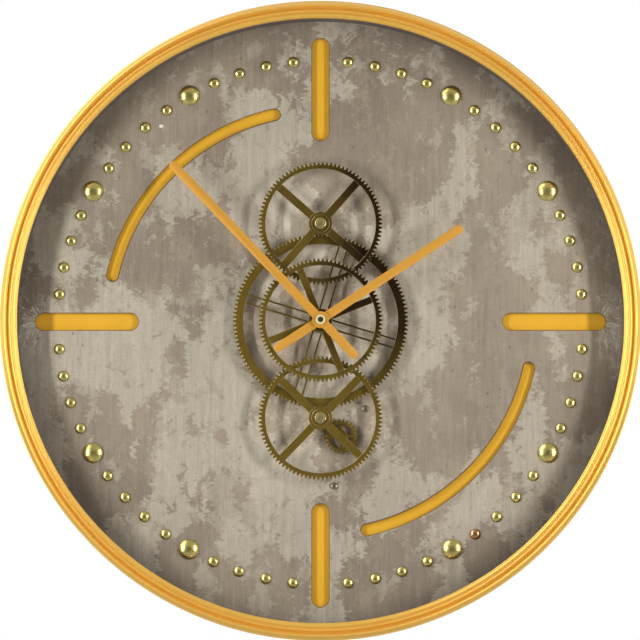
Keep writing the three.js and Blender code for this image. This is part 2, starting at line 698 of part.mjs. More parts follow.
// A flat wheel with teeth, windows between its spokes, and a raised boss on its front
function spokedWheel({ outline, windows, bore, hub, boss, back, front }) {
  const wheel = plate(outline, windows, back, front);
  const raised = cylinder(hub, back, front - boss, 20);
  return wheel.add(raised).subtract(cylinder(bore, back + OVERCUT, front - boss - OVERCUT, 16));
}

function spokeWindows(ringBand, root, hub, spokeWidth, angle) {
  return [0, 90, 180, 270].map((turn) => {
    const from = angle + turn;
    return spokeWindow(hub - HUB_BITE, root - ringBand, spokeWidth, from, from + 90, 6);
  });
}

const wheelTeeth = () => teethOutline(WHEEL_TEETH, tipRadius(WHEEL_TEETH), rootRadius(WHEEL_TEETH), 1, 0);

function centreTrain() {
  const bigBack = DIAL_FRONT - BIG_WHEEL_PLANE;
  const bigFront = bigBack - WHEEL_THICKNESS;
  const centreBack = DIAL_FRONT - CENTRE_WHEEL_PLANE;
  const centreFront = centreBack - WHEEL_THICKNESS;
  const bore = NECK_RADIUS + RUNNING_GAP;
  const hub = turned([
    [bore, HUB_BACK],
    [HUB_FLANGE_RADIUS, HUB_BACK],
    [HUB_FLANGE_RADIUS, bigBack + GAP],
    [HUB_BIG_SEAT, bigBack + GAP],
    [HUB_BIG_SEAT, bigFront - GAP],
    [HUB_WAIST, bigFront - GAP],
    [HUB_WAIST, centreBack + GAP],
    [HUB_CENTRE_SEAT, centreBack + GAP],
    [HUB_CENTRE_SEAT, HUB_FRONT],
    [bore, HUB_FRONT],
  ], 16);
  addPiece(clock, 'centre_hub', 'bronze', hub);

  const root = rootRadius(WHEEL_TEETH);
  const centre = spokedWheel({
    outline: wheelTeeth(),
    windows: spokeWindows(RING_BAND, root, WHEEL_HUB_RADIUS, CENTRE_SPOKE_WIDTH, CENTRE_SPOKE_ANGLE),
    bore: HUB_CENTRE_SEAT + GAP,
    hub: WHEEL_HUB_RADIUS,
    boss: 0,
    back: centreBack,
    front: centreFront,
  });
  addPiece(clock, 'centre_wheel', 'bronze', centre);
  addPiece(clock, 'big_wheel', 'bronze', bigWheel(bigBack, bigFront));
}

// The big wheel's spokes are pairs of thin bars
function bigWheel(back, front) {
  const root = rootRadius(BIG_TEETH);
  const outline = teethOutline(BIG_TEETH, tipRadius(BIG_TEETH), root, 1, BIG_PHASE);
  const pairWidth = BIG_SPOKE_SPREAD + BIG_SPOKE_BAR;
  const slotWidth = BIG_SPOKE_SPREAD - BIG_SPOKE_BAR;
  const inner = BIG_HUB_RADIUS - HUB_BITE;
  const outer = root - BIG_RING_BAND;
  const windows = spokeWindows(BIG_RING_BAND, root, BIG_HUB_RADIUS, pairWidth, BIG_SPOKE_ANGLE);
  const slots = [0, 90, 180, 270].map((turn) => {
    const middle = BIG_SPOKE_ANGLE + turn;
    const inset = (radius) => THREE.MathUtils.radToDeg(Math.asin(slotWidth / 2 / radius));
    return [
      ...arc(outer, middle - inset(outer), middle + inset(outer), 2),
      ...arc(inner, middle + inset(inner), middle - inset(inner), 2),
    ];
  });
  return spokedWheel({
    outline,
    windows: [...windows, ...slots],
    bore: HUB_BIG_SEAT + GAP,
    hub: BIG_HUB_RADIUS,
    boss: 0,
    back,
    front,
  });
}

// The arbor carries its pinion behind the wheel, and its turned end shows in front
function arbor(phase) {
  const pinionBack = DIAL_FRONT - GAP - BEARING_FLANGE - GAP;
  const wheelBack = DIAL_FRONT - SIDE_WHEEL_PLANE;
  const end = wheelBack - WHEEL_THICKNESS - WHEEL_BOSS_HEIGHT - ARBOR_END;
  const shaft = turned([
    [0, BACKING_BACK - GAP],
    [PIVOT_RADIUS, BACKING_BACK - GAP],
    [PIVOT_RADIUS, pinionBack],
    [ARBOR_COLLAR_RADIUS, pinionBack],
    [ARBOR_COLLAR_RADIUS, wheelBack + GAP],
    [ARBOR_RADIUS, wheelBack + GAP],
    [ARBOR_RADIUS, end + ARBOR_CHAMFER],
    [ARBOR_RADIUS - ARBOR_CHAMFER, end],
    [0, end],
  ], 16);
  const tip = pitchRadius(PINION_TEETH) + PINION_ADDENDUM * MODULE;
  const teeth = teethOutline(PINION_TEETH, tip, rootRadius(PINION_TEETH), PINION_TOOTH_SHARE, phase);
  return shaft.add(plate(teeth, [], pinionBack, PINION_FRONT));
}

function sideTrain(name, z, phase, spokeAngle) {
  const wheelBack = DIAL_FRONT - SIDE_WHEEL_PLANE;
  const root = rootRadius(WHEEL_TEETH);
  const bearing = turned([
    [PIVOT_RADIUS + GAP, BACKING_BACK - GAP],
    [BEARING_RADIUS, BACKING_BACK - GAP],
    [BEARING_RADIUS, DIAL_FRONT - GAP],
    [BEARING_FLANGE_RADIUS, DIAL_FRONT - GAP],
    [BEARING_FLANGE_RADIUS, DIAL_FRONT - GAP - BEARING_FLANGE],
    [PIVOT_RADIUS + GAP, DIAL_FRONT - GAP - BEARING_FLANGE],
  ], 12);
  const wheel = spokedWheel({
    outline: wheelTeeth(),
    windows: spokeWindows(RING_BAND, root, WHEEL_HUB_RADIUS, SPOKE_WIDTH, spokeAngle),
    bore: ARBOR_RADIUS + GAP,
    hub: WHEEL_BOSS_RADIUS,
    boss: WHEEL_BOSS_HEIGHT,
    back: wheelBack,
    front: wheelBack - WHEEL_THICKNESS,
  });
  addPiece(clock, `${name}_bearing`, 'brass', bearing, 0, z);
  addPiece(clock, `${name}_arbor`, 'brass', arbor(phase), 0, z);
  addPiece(clock, `${name}_wheel`, 'bronze', wheel, 0, z);
}

function motorGear() {
  const back = DIAL_FRONT - MOTOR_GEAR_PLANE;
  const front = back - MOTOR_GEAR_THICKNESS;
  const root = rootRadius(MOTOR_TEETH);
  const outline = teethOutline(MOTOR_TEETH, tipRadius(MOTOR_TEETH), root, 1, MOTOR_PHASE);
  const windows = spokeWindows(MOTOR_RING_BAND, root, MOTOR_HUB_RADIUS, MOTOR_SPOKE_WIDTH, 0);
  const gear = spokedWheel({
    outline,
    windows,
    bore: MOTOR_SHAFT_RADIUS + GAP,
    hub: MOTOR_HUB_RADIUS,
    boss: MOTOR_HUB_HEIGHT,
    back,
    front,
  });
  const shaft = cylinder(MOTOR_SHAFT_RADIUS, SHAFT_BACK, front - MOTOR_HUB_HEIGHT - GAP, 12);
  addPiece(clock, 'motor_gear', 'bronze', gear, MOTOR_AXIS.x, MOTOR_AXIS.y);
  addPiece(clock, 'motor_shaft', 'steel', shaft, MOTOR_AXIS.x, MOTOR_AXIS.y);
}

// Hands

function hand(length, tail, degrees, bore, back) {
  const front = back - HAND_THICKNESS;
  const bar = plate(stadium(-tail, length, HAND_WIDTH, degrees), [], back, front);
  const boss = plate(circle(HAND_BOSS_RADIUS, 20), [], back, front);
  return bar.add(boss).subtract(cylinder(bore, back + OVERCUT, front - OVERCUT, 12));
}

function hands() {
  const tubeBore = MINUTE_ARBOR_RADIUS + RUNNING_GAP;
  addPiece(clock, 'hour_hand', 'gold',
    hand(HOUR_LENGTH, HOUR_TAIL, HOUR_ANGLE, HOUR_TUBE_RADIUS + GAP, HOUR_HAND_BACK));
  addPiece(clock, 'minute_hand', 'gold',
    hand(MINUTE_LENGTH, MINUTE_TAIL, MINUTE_ANGLE, MINUTE_ARBOR_RADIUS + GAP, MINUTE_HAND_BACK));

  const hourWheelBack = HOUR_WHEEL_FRONT + INNER_WHEEL_THICKNESS;
  addPiece(clock, 'hour_tube', 'brass', turned([
    [tubeBore, hourWheelBack],
    [HOUR_WHEEL_RADIUS, hourWheelBack],
    [HOUR_WHEEL_RADIUS, HOUR_WHEEL_FRONT],
    [HOUR_TUBE_RADIUS, HOUR_WHEEL_FRONT],
    [HOUR_TUBE_RADIUS, HOUR_HAND_BACK - HAND_THICKNESS - TUBE_PROUD],
    [tubeBore, HOUR_HAND_BACK - HAND_THICKNESS - TUBE_PROUD],
  ], 16));

  const minuteWheelFront = hourWheelBack + GAP;
  const minuteWheelBack = minuteWheelFront + INNER_WHEEL_THICKNESS;
  addPiece(clock, 'minute_arbor', 'steel', turned([
    [0, CASE_BACK],
    [MINUTE_ARBOR_RADIUS, CASE_BACK],
    [MINUTE_ARBOR_RADIUS, minuteWheelBack],
    [MINUTE_WHEEL_RADIUS, minuteWheelBack],
    [MINUTE_WHEEL_RADIUS, minuteWheelFront],
    [MINUTE_ARBOR_RADIUS, minuteWheelFront],
    [MINUTE_ARBOR_RADIUS, NUT_FRONT + GAP],
    [0, NUT_FRONT + GAP],
  ], 12));

  const nutBack = MINUTE_HAND_BACK - HAND_THICKNESS - GAP;
  addPiece(clock, 'hand_nut', 'ivory', turned([
    [MINUTE_ARBOR_RADIUS + GAP, nutBack],
    [HAND_NUT_RADIUS, nutBack],
    [HAND_NUT_RADIUS, NUT_FRONT + HAND_NUT_CHAMFER],
    [HAND_NUT_RADIUS - HAND_NUT_CHAMFER, NUT_FRONT],
    [HAND_NUT_DISH, NUT_FRONT],
    [MINUTE_ARBOR_RADIUS + GAP, NUT_FRONT + HAND_NUT_DISH_DEPTH],
  ], 16));
}

// Movement

// A cell that lies along X, its nub to the right
function cell(y, z, centreX) {
  const left = -(CELL_LENGTH + CELL_NUB) / 2;
  const geometry = new THREE.LatheGeometry([
    new THREE.Vector2(0, left),
    new THREE.Vector2(CELL_RADIUS, left),
    new THREE.Vector2(CELL_RADIUS, left + CELL_LENGTH),
    new THREE.Vector2(CELL_NUB_RADIUS, left + CELL_LENGTH),
    new THREE.Vector2(CELL_NUB_RADIUS, left + CELL_LENGTH + CELL_NUB),
    new THREE.Vector2(0, left + CELL_LENGTH + CELL_NUB),
  ], 12);
  return solid(geometry.rotateZ(-Math.PI / 2).translate(centreX, y, z));
}

function movement() {
  const half = MOVEMENT_SIZE / 2;
  const inner = half - MOVEMENT_WALL;
  const cellZ = -inner + GAP + CELL_RADIUS;
  const bayTop = cellZ + CELL_RADIUS + GAP;
  const worksBottom = bayTop + MOVEMENT_WALL;
  const open = CASE_BACK + OVERCUT;
  const housing = block(-half, -half, half, half, CASE_BACK, WORKS_FRONT)
    .subtract(block(-inner, worksBottom, inner, inner, open, CASE_FLOOR))
    .subtract(block(-inner, -inner, inner, bayTop, open, CASE_FLOOR))
    .subtract(cylinder(NECK_HOLE, open, WORKS_FRONT - OVERCUT, 16));
  addPiece(clock, 'movement_case', 'plastic', housing);
  addPiece(clock, 'movement_battery', 'cell', cell(CASE_FLOOR + GAP + CELL_RADIUS, cellZ, 0));

  const coverFront = CASE_BACK + GAP;
  const coverBack = coverFront + COVER_THICKNESS;
  const knobHole = circle(KNOB_SHAFT_RADIUS + GAP, 12, KNOB_OFFSET, KNOB_OFFSET);
  addPiece(clock, 'movement_cover', 'plastic',
    plate(box(-half, bayTop, half, half), [knobHole], coverBack, coverFront));

  const knobFront = coverBack + GAP;
  const fluted = teethOutline(KNOB_FLUTES, KNOB_RADIUS, KNOB_RADIUS - KNOB_FLUTE_DEPTH, 1, 0);
  const knob = plate(fluted, [], knobFront + KNOB_HEIGHT, knobFront)
    .add(cylinder(KNOB_SHAFT_RADIUS, knobFront + KNOB_HEIGHT / 2, coverFront - KNOB_SHAFT_REACH, 12));
  addPiece(clock, 'set_knob', 'ivory', knob, KNOB_OFFSET, KNOB_OFFSET);

  const flangeFront = CASE_FLOOR + GAP;
  const neckBore = HOUR_TUBE_RADIUS + GAP;
  addPiece(clock, 'movement_neck', 'brass', turned([
    [neckBore, flangeFront + NECK_FLANGE],
    [NECK_FLANGE_RADIUS, flangeFront + NECK_FLANGE],
    [NECK_FLANGE_RADIUS, flangeFront],
    [NECK_RADIUS, flangeFront],
    [NECK_RADIUS, NECK_FRONT],
    [neckBore, NECK_FRONT],
  ], 16));
  addPiece(clock, 'neck_washer', 'steel', tube(WASHER_RADIUS, NECK_HOLE, DIAL_FRONT - GAP, WASHER_FRONT));
  addPiece(clock, 'neck_nut', 'brass',
    plate(circle(NECK_NUT_RADIUS, 6), [circle(NECK_HOLE, 16)], WASHER_FRONT - GAP, NECK_NUT_FRONT));
}

// Gear motor and its battery box

function motorHousing() {
  const open = HOUSING_BACK + OVERCUT;
  const left = HOUSING_LEFT + HOUSING_WALL;
  const right = HOUSING_RIGHT - HOUSING_WALL;
  const behindDivider = HOUSING_BACK - COVER_THICKNESS - OVERCUT;
  const front = WORKS_FRONT - OVERCUT;
  const bossBack = HOUSING_FLOOR + SCREW_BOSS_DEPTH;
  const throughFloor = HOUSING_FLOOR + OVERCUT;
  const [upper, lower] = SCREWS;
  const boss = cylinder(SCREW_BOSS_RADIUS, bossBack, HOUSING_FLOOR - OVERCUT, 12, upper.x, upper.z);
  const upperHole = cylinder(SCREW_HOLE, bossBack - OVERCUT, front, 8, upper.x, upper.z);
  const lowerHole = cylinder(SCREW_HOLE, throughFloor, front, 8, lower.x, lower.z);
  const shaftHole = cylinder(SHAFT_HOLE, throughFloor, front, 12, MOTOR_AXIS.x, MOTOR_AXIS.y);
  const sidePockets = [
    block(left, CELL_BAY_BOTTOM, CELL_BAY_LEFT - HOUSING_WALL, CELL_BAY_TOP, open, HOUSING_FLOOR),
    block(CELL_BAY_RIGHT + HOUSING_WALL, CELL_BAY_BOTTOM, right, CELL_BAY_TOP, open, HOUSING_FLOOR),
  ];
  let housing = block(HOUSING_LEFT, HOUSING_BOTTOM, HOUSING_RIGHT, HOUSING_TOP, HOUSING_BACK, WORKS_FRONT)
    .subtract(block(left, MOTOR_BAY_BOTTOM, right, HOUSING_TOP - HOUSING_WALL, open, HOUSING_FLOOR))
    .subtract(block(CELL_BAY_LEFT, CELL_BAY_BOTTOM, CELL_BAY_RIGHT, CELL_BAY_TOP, open, HOUSING_FLOOR))
    .subtract(block(left, CELL_BAY_BOTTOM, right, HOUSING_TOP - HOUSING_WALL, open, behindDivider));
  sidePockets.forEach((pocket) => {
    housing = housing.subtract(pocket);
  });
  const pinLeft = HOUSING_LEFT - OVERCUT;
  const pinRight = HOUSING_RIGHT + OVERCUT;
  const pinHoles = rod(DOOR_PIN_RADIUS + GAP, pinLeft, pinRight, DOOR_AXIS_Y, DOOR_AXIS_Z, 12);
  housing = housing.add(boss);
  [upperHole, lowerHole, shaftHole, pinHoles].forEach((hole) => {
    housing = housing.subtract(hole);
  });
  addPiece(clock, 'motor_housing', 'plastic', housing);
}

function motorCover() {
  const { knob, knobHeight, travel } = SLIDER;
  const slot = box(
    SLIDER_CENTRE.x - knob / 2 - GAP,
    SLIDER_CENTRE.z - knobHeight / 2 - GAP,
    SLIDER_CENTRE.x + knob / 2 + travel + GAP,
    SLIDER_CENTRE.z + knobHeight / 2 + GAP,
  );
  const outline = box(
    HOUSING_LEFT + HOUSING_WALL + GAP,
    DOOR_AXIS_Z + DOOR_SWING_ROOM,
    HOUSING_RIGHT - HOUSING_WALL - GAP,
    HOUSING_TOP - HOUSING_WALL - GAP,
  );
  addPiece(clock, 'motor_cover', 'plastic', plate(outline, [slot], HOUSING_BACK, COVER_FRONT));
}

function batteryDoor() {
  const left = HOUSING_LEFT + HOUSING_WALL + GAP;
  const right = HOUSING_RIGHT - HOUSING_WALL - GAP;
  const bottom = CELL_BAY_BOTTOM + GAP;
  const pinLeft = left - DOOR_PIN_LENGTH;
  const pinRight = right + DOOR_PIN_LENGTH;
  const pins = rod(DOOR_PIN_RADIUS, pinLeft, pinRight, DOOR_AXIS_Y, DOOR_AXIS_Z, 12);
  const door = block(left, bottom, right, CELL_BAY_TOP, HOUSING_BACK, HOUSING_BACK - DOOR_THICKNESS);
  addPiece(clock, 'battery_door', 'plastic', door.add(pins));
}

function gearMotor() {
  const { left, right, bottom, top, canLength, canRadius } = GEAR_MOTOR;
  const front = HOUSING_FLOOR + GAP;
  const back = COVER_FRONT - GAP;
  const canY = (front + back) / 2;
  const motor = block(left, bottom, right, top, back, front)
    .add(rod(canRadius, right - OVERCUT, right + canLength, canY, (top + bottom) / 2, 16))
    .subtract(cylinder(SHAFT_HOLE, SHAFT_BACK + GAP, front - OVERCUT, 12, MOTOR_AXIS.x, MOTOR_AXIS.y));
  addPiece(clock, 'gear_motor', 'steel', motor);
}

function motorSwitch() {
  const { left, bottom, width, height, depth } = SWITCH;
  const { length, height: sliderHeight, thickness, knob, knobHeight, travel } = SLIDER;
  const back = COVER_FRONT - GAP;
  const floor = back - thickness - GAP;
  const pocketHalf = (length + travel) / 2 + GAP;
  const middle = left + width / 2;
  const centreZ = SLIDER_CENTRE.z;
  const pocket = block(
    middle - pocketHalf,
    centreZ - sliderHeight / 2 - GAP,
    middle + pocketHalf,
    centreZ + sliderHeight / 2 + GAP,
    back + OVERCUT,
    floor,
  );
  const body = block(left, bottom, left + width, bottom + height, back, back - depth).subtract(pocket);
  addPiece(clock, 'switch_body', 'plastic', body);

  const sled = block(-length / 2, -sliderHeight / 2, length / 2, sliderHeight / 2, back, back - thickness);
  const leverBack = HOUSING_BACK + SLIDER.proud;
  const leverFront = back - thickness / 2;
  const lever = block(-knob / 2, -knobHeight / 2, knob / 2, knobHeight / 2, leverBack, leverFront);
  addPiece(clock, 'switch_slider', 'ivory', sled.add(lever), SLIDER_CENTRE.x, centreZ);
}

function motorCells() {
  const y = HOUSING_FLOOR + GAP + CELL_RADIUS;
  addPiece(clock, 'motor_battery_upper', 'cell', cell(y, UPPER_CELL_Z, HOUSING_MIDDLE));
  addPiece(clock, 'motor_battery_lower', 'cell', cell(y, LOWER_CELL_Z, HOUSING_MIDDLE));
}

function motorScrews() {
  const seat = DIAL_FRONT - GAP;
  const domed = (tip) => turned([
    [0, tip],
    [SCREW_RADIUS, tip],
    [SCREW_RADIUS, seat],
    [SCREW_HEAD_RADIUS, seat],
    [SCREW_HEAD_RADIUS * SCREW_DOME.shoulder, seat - SCREW_HEAD_HEIGHT * SCREW_DOME.shoulderHeight],
    [SCREW_HEAD_RADIUS * SCREW_DOME.crown, seat - SCREW_HEAD_HEIGHT * SCREW_DOME.crownHeight],
    [0, seat - SCREW_HEAD_HEIGHT],
  ], 8);
  const upperTip = HOUSING_FLOOR + SCREW_BOSS_DEPTH - 2 * OVERCUT;
  const lowerTip = HOUSING_FLOOR - GAP;
  addPiece(clock, 'motor_screw_upper', 'brass', domed(upperTip), SCREW_UPPER.x, SCREW_UPPER.z);
  addPiece(clock, 'motor_screw_lower', 'brass', domed(lowerTip), SCREW_LOWER.x, SCREW_LOWER.z);
}

bezelRing();
sideBand();
wellRing();
dialPlate();
backingPlate();
hourStuds();
minuteStuds();
backBoard();
standoffs();
hanger();
centreTrain();
sideTrain('top', ARBOR_DISTANCE, TOP_PHASE, TOP_SPOKE_ANGLE);
sideTrain('bottom', -ARBOR_DISTANCE, BOTTOM_PHASE, BOTTOM_SPOKE_ANGLE);
motorGear();
hands();
movement();
motorHousing();
motorCover();
batteryDoor();
gearMotor();
motorSwitch();
motorCells();
motorScrews();

export default clock;
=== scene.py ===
"""Looks for a round wall clock: a ribbed gold rim, a mottled dial with gold cut-outs, brass nails,
spoked gear wheels on the front and two plain gold hands.

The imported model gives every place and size. Lengths are in metres, +Z is up, +X is to the right as
one looks at the dial, and the dial faces -Y.
"""
import math
import random

import bpy
from bpy.props import FloatProperty, FloatVectorProperty, IntProperty, PointerProperty
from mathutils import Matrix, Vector


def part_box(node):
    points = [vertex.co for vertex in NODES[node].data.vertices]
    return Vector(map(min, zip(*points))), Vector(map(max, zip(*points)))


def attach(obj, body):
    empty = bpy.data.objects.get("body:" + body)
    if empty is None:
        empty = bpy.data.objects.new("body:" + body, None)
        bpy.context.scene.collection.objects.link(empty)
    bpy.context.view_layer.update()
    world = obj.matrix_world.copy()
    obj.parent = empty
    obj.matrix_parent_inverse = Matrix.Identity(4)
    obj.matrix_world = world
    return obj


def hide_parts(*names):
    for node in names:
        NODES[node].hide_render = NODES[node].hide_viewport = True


bl_info = {
    "name": "Gear clock",
    "version": (1, 0, 0),
    "blender": (4, 5, 0),
    "location": "View3D > Sidebar > Gear clock",
    "description": "Builds the looks of a round wall clock with moving gear wheels",
    "category": "Object",
}

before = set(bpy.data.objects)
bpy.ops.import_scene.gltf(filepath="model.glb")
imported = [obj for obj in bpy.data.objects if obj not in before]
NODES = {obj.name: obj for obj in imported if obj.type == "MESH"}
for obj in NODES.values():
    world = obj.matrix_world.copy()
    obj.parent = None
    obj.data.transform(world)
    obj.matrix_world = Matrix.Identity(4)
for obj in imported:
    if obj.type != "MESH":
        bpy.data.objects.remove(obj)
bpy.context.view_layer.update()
MM = 0.001
PLAY = 0.3 * MM  # Left open between neighbouring pieces
HAIR = 0.01 * MM  # Keeps the faces of two solids out of one plane before they are joined


def front_of(node):
    """Depth of a node's face that looks at the viewer."""
    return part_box(node)[0].y


def back_of(node):
    """Depth of a node's face that looks at the wall."""
    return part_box(node)[1].y


def centre_of(node):
    low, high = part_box(node)
    return (low + high) / 2


def outer_radius(node):
    low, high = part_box(node)
    return max(high.x - low.x, high.z - low.z) / 2


def turn_of(node):
    """Degrees up from +X to the node's corner that is farthest from its axis."""
    middle = centre_of(node)
    corners = [(v.co.x - middle.x, v.co.z - middle.z) for v in NODES[node].data.vertices]
    x, z = max(corners, key=lambda corner: math.hypot(*corner))
    return math.degrees(math.atan2(z, x))


# Settings that a user would change


def length(name, description, default):
    return FloatProperty(name=name, description=description, default=default, unit="LENGTH")


def angle(name, description, default):
    return FloatProperty(name=name, description=description, default=math.radians(default),
                         subtype="ANGLE")


def colour(name, description, default):
    return FloatVectorProperty(name=name, description=description, default=default, size=3,
                               min=0.0, max=1.0, subtype="COLOR")


class ClockCaseSettings(bpy.types.PropertyGroup):
    """Sizes of the rim and the walls."""

    rim_width: length("Rim width", "From the outer edge to the opening", 16.2 * MM)
    rib_depth: length("Rib depth", "How deep the shallow groove is", 1.3 * MM)
    groove: length("Groove", "From the outer edge to the deep groove", 7.1 * MM)
    second_groove: length("Second groove", "From the outer edge to the shallow groove", 11.2 * MM)
    skirt_wall: length("Skirt wall", "Wall of the rim's skirt", 2.2 * MM)
    wall: length("Wall", "Sheet of the inner wall and the side wall", 1.5 * MM)
    lip: length("Lip", "Width of the rolled rear lip", 7.5 * MM)
    lip_depth: length("Lip depth", "From the wall to the front of the lip", 2.5 * MM)
    lip_radius: length("Lip radius", "Rounding of the rolled rear lip", 1.1 * MM)
    round_steps: IntProperty(name="Round steps", description="Steps round the rim", default=256)


class ClockDialSettings(bpy.types.PropertyGroup):
    """Sizes of the dial's cut-outs and nails."""

    slot_inner: length("Slot inner end", "From the axis to the near end of a straight slot", 171 * MM)
    slot_outer: length("Slot outer end", "From the axis to the far end of a straight slot", 268 * MM)
    slot_width: length("Slot width", "Width of a straight slot", 16.1 * MM)
    arc_radius: length("Curved slot radius", "Middle line of a curved slot", 200.5 * MM)
    arc_width: length("Curved slot width", "Width of a curved slot", 10.7 * MM)
    arc_span: angle("Curved slot span", "From tip to tip of a curved slot", 68)
    edge: length("Cut edge", "Break on the edge of a cut-out", 0.3 * MM)
    nail_circle: length("Nail circle", "Radius that the nails stand on", 246.8 * MM)
    small_nail: length("Small nail radius", "Radius of a minute nail's head", 5.1 * MM)
    nail_tilt: angle("Nail tilt", "How far a nail may lean", 2.5)


class ClockTrainSettings(bpy.types.PropertyGroup):
    """Sizes of the gear wheels."""

    module: length("Module", "Pitch diameter for each tooth", 1.27 * MM)
    wheel_teeth: IntProperty(name="Wheel teeth", description="Teeth of a small wheel", default=90)
    big_teeth: IntProperty(name="Big wheel teeth", description="Teeth of the big wheel", default=128)
    motor_teeth: IntProperty(name="Motor gear teeth", description="Teeth of the motor gear",
                             default=24)
    pinion_teeth: IntProperty(name="Pinion teeth", description="Teeth of a pinion", default=16)
    ring_band: length("Ring band", "Width of a small wheel's ring", 3.9 * MM)
    big_ring_band: length("Big ring band", "Width of the big wheel's ring", 7.1 * MM)
    motor_ring_band: length("Motor ring band", "Width of the motor gear's ring", 2.2 * MM)
    spoke_width: length("Spoke width", "Spokes of the top and bottom wheels", 7.4 * MM)
    centre_spoke_width: length("Centre spoke width", "Spokes of the centre wheel", 6.6 * MM)
    motor_spoke_width: length("Motor spoke width", "Spokes of the motor gear", 3.0 * MM)
    bar_width: length("Bar width", "One bar of the big wheel's double spokes", 1.8 * MM)
    bar_spread: length("Bar spread", "Between the middles of two bars", 8.0 * MM)
    edge: length("Wheel edge", "Bright break on a wheel's edges", 0.28 * MM)


class ClockHandSettings(bpy.types.PropertyGroup):
    """Sizes and places of the two hands."""

    width: length("Hand width", "Width of a hand", 8.4 * MM)
    boss: length("Boss radius", "Round plate at the middle of a hand", 7.8 * MM)
    minute_length: length("Minute length", "From the axis to the tip", 204 * MM)
    minute_tail: length("Minute tail", "From the axis to the tail's end", 49 * MM)
    minute_angle: angle("Minute angle", "From +X, turning up", 133.5)
    hour_length: length("Hour length", "From the axis to the tip", 159 * MM)
    hour_tail: length("Hour tail", "From the axis to the tail's end", 51.5 * MM)
    hour_angle: angle("Hour angle", "From +X, turning up", 33.3)
    edge: length("Hand edge", "Break on a hand's edges", 0.25 * MM)


class ClockFinishSettings(bpy.types.PropertyGroup):
    """Colours of the finishes."""

    rim: colour("Rim gold", "Polished gold of the rim", (0.97, 0.565, 0.1))
    plate: colour("Plate gold", "Satin gold behind the cut-outs", (0.95, 0.51, 0.034))
    hand: colour("Hand gold", "Satin gold of the hands", (0.74, 0.36, 0.045))
    brass: colour("Nail brass", "Polished brass of the nails", (0.58, 0.49, 0.16))
    turned: colour("Turned brass", "Arbors and their bearings", (0.68, 0.58, 0.27))
    copper: colour("Coppery brass", "One nail that has gone coppery", (0.42, 0.22, 0.09))
    bronze: colour("Wheel bronze", "Antique bronze of the wheels", (0.235, 0.158, 0.024))
    worn: colour("Worn edge and highlight", "Bright edges of the wheels", (0.62, 0.52, 0.27))
    bronze_dark: colour("Dark bronze", "Darkened parts of the wheels", (0.03, 0.016, 0.004))
    dial_light: colour("Light plaster", "Light areas of the dial", (0.50, 0.445, 0.352))
    dial_mid: colour("Taupe plaster", "Middle tone of the dial", (0.355, 0.292, 0.218))
    dial_dark: colour("Dark plaster", "Dark areas of the dial", (0.265, 0.215, 0.163))
    dial_fleck: colour("Pale flecks", "Small pale flecks of the dial", (0.62, 0.57, 0.47))
    slot_halo: colour("Slot halo", "Dial just round the cut-outs", (0.58, 0.53, 0.44))
    slot_edge_line: colour("Slot line", "Line on the edge of the cut-outs", (0.13, 0.06, 0.012))
    cut_edge: colour("Cut edge", "Cut through the dial", (0.16, 0.10, 0.05))
    ray: colour("Rays", "Fine rays beside the level cut-outs", (0.78, 0.76, 0.62))
    chip: colour("Chip", "The one pale chip", (0.82, 0.76, 0.72))
    well: colour("Well paint", "Inner wall of the rim", (0.14, 0.115, 0.1))
    board: colour("Hardboard", "Rear board", (0.07, 0.042, 0.023))
    plastic: colour("Black plastic", "Movement and motor box", (0.016, 0.016, 0.017))
    ivory: colour("Cream plastic", "Knob, slider and hand nut", (0.84, 0.74, 0.46))
    green: colour("Green glaze", "Stone in the hand nut", (0.03, 0.055, 0.008))
    steel: colour("Zinc", "Screws, spacers and hanger", (0.48, 0.48, 0.46))
    nickel: colour("Dull nickel", "Two screws on the dial", (0.30, 0.27, 0.19))
    sleeve: colour("Cell sleeve", "Foil on the cells", (0.025, 0.107, 0.254))


class ClockStageSettings(bpy.types.PropertyGroup):
    """Camera, lamps and floor."""

    distance: length("Camera distance", "From the rim to the camera", 6.0)
    elevation: angle("Camera elevation", "Above the clock's axis", -4.6)
    lens: FloatProperty(name="Lens", description="Focal length", default=361, unit="CAMERA")
    lamp_power: FloatProperty(name="Lamp power", description="Each side lamp", default=11.15,
                              unit="POWER")
    lamp_side: length("Lamp side", "Sideways from the axis to a lamp", 1.09)
    lamp_front: length("Lamp front", "From the wall to a lamp", 0.87)
    lamp_rise: length("Lamp rise", "From the axis up to a lamp", 0.05)
    lamp_width: length("Lamp width", "Width of a lamp's face", 0.07)
    lamp_height: length("Lamp height", "Height of a lamp's face", 0.9)
    room_light: FloatProperty(name="Room light", description="Level of the room for matt faces",
                              default=0.315)
    room_shine: FloatProperty(name="Room shine", description="Level of the room in shiny faces",
                              default=1.0)
    floor: length("Floor", "Height of the floor", -0.75)
    floor_lift: FloatProperty(name="Floor lift", description="How much paler the camera sees it",
                              default=0.36)


def settings(group):
    return getattr(bpy.context.scene, group)


# Making meshes


def clear_selection():
    if bpy.context.object and bpy.context.object.mode != "OBJECT":
        bpy.ops.object.mode_set(mode="OBJECT")
    bpy.ops.object.select_all(action="DESELECT")


def only(piece):
    """Makes one piece the selected and active one."""
    clear_selection()
    piece.select_set(True)
    bpy.context.view_layer.objects.active = piece


def pick(piece, test):
    """In edit mode, selects the vertices whose place passes the test."""
    bpy.ops.object.mode_set(mode="OBJECT")
    for parts in (piece.data.polygons, piece.data.edges, piece.data.vertices):
        parts.foreach_set("select", [False] * len(parts))
    for vertex in piece.data.vertices:
        vertex.select = test(vertex.co)
    bpy.ops.object.mode_set(mode="EDIT")


def apply_place(piece):
    """Moves a piece's place into its mesh."""
    only(piece)
    bpy.ops.object.transform_apply(location=True, rotation=True, scale=True)


def apply_modifier(piece, kind, **values):
    only(piece)
    modifier = piece.modifiers.new(kind.title(), kind)
    for name, value in values.items():
        setattr(modifier, name, value)
    bpy.ops.object.modifier_apply(modifier=modifier.name)


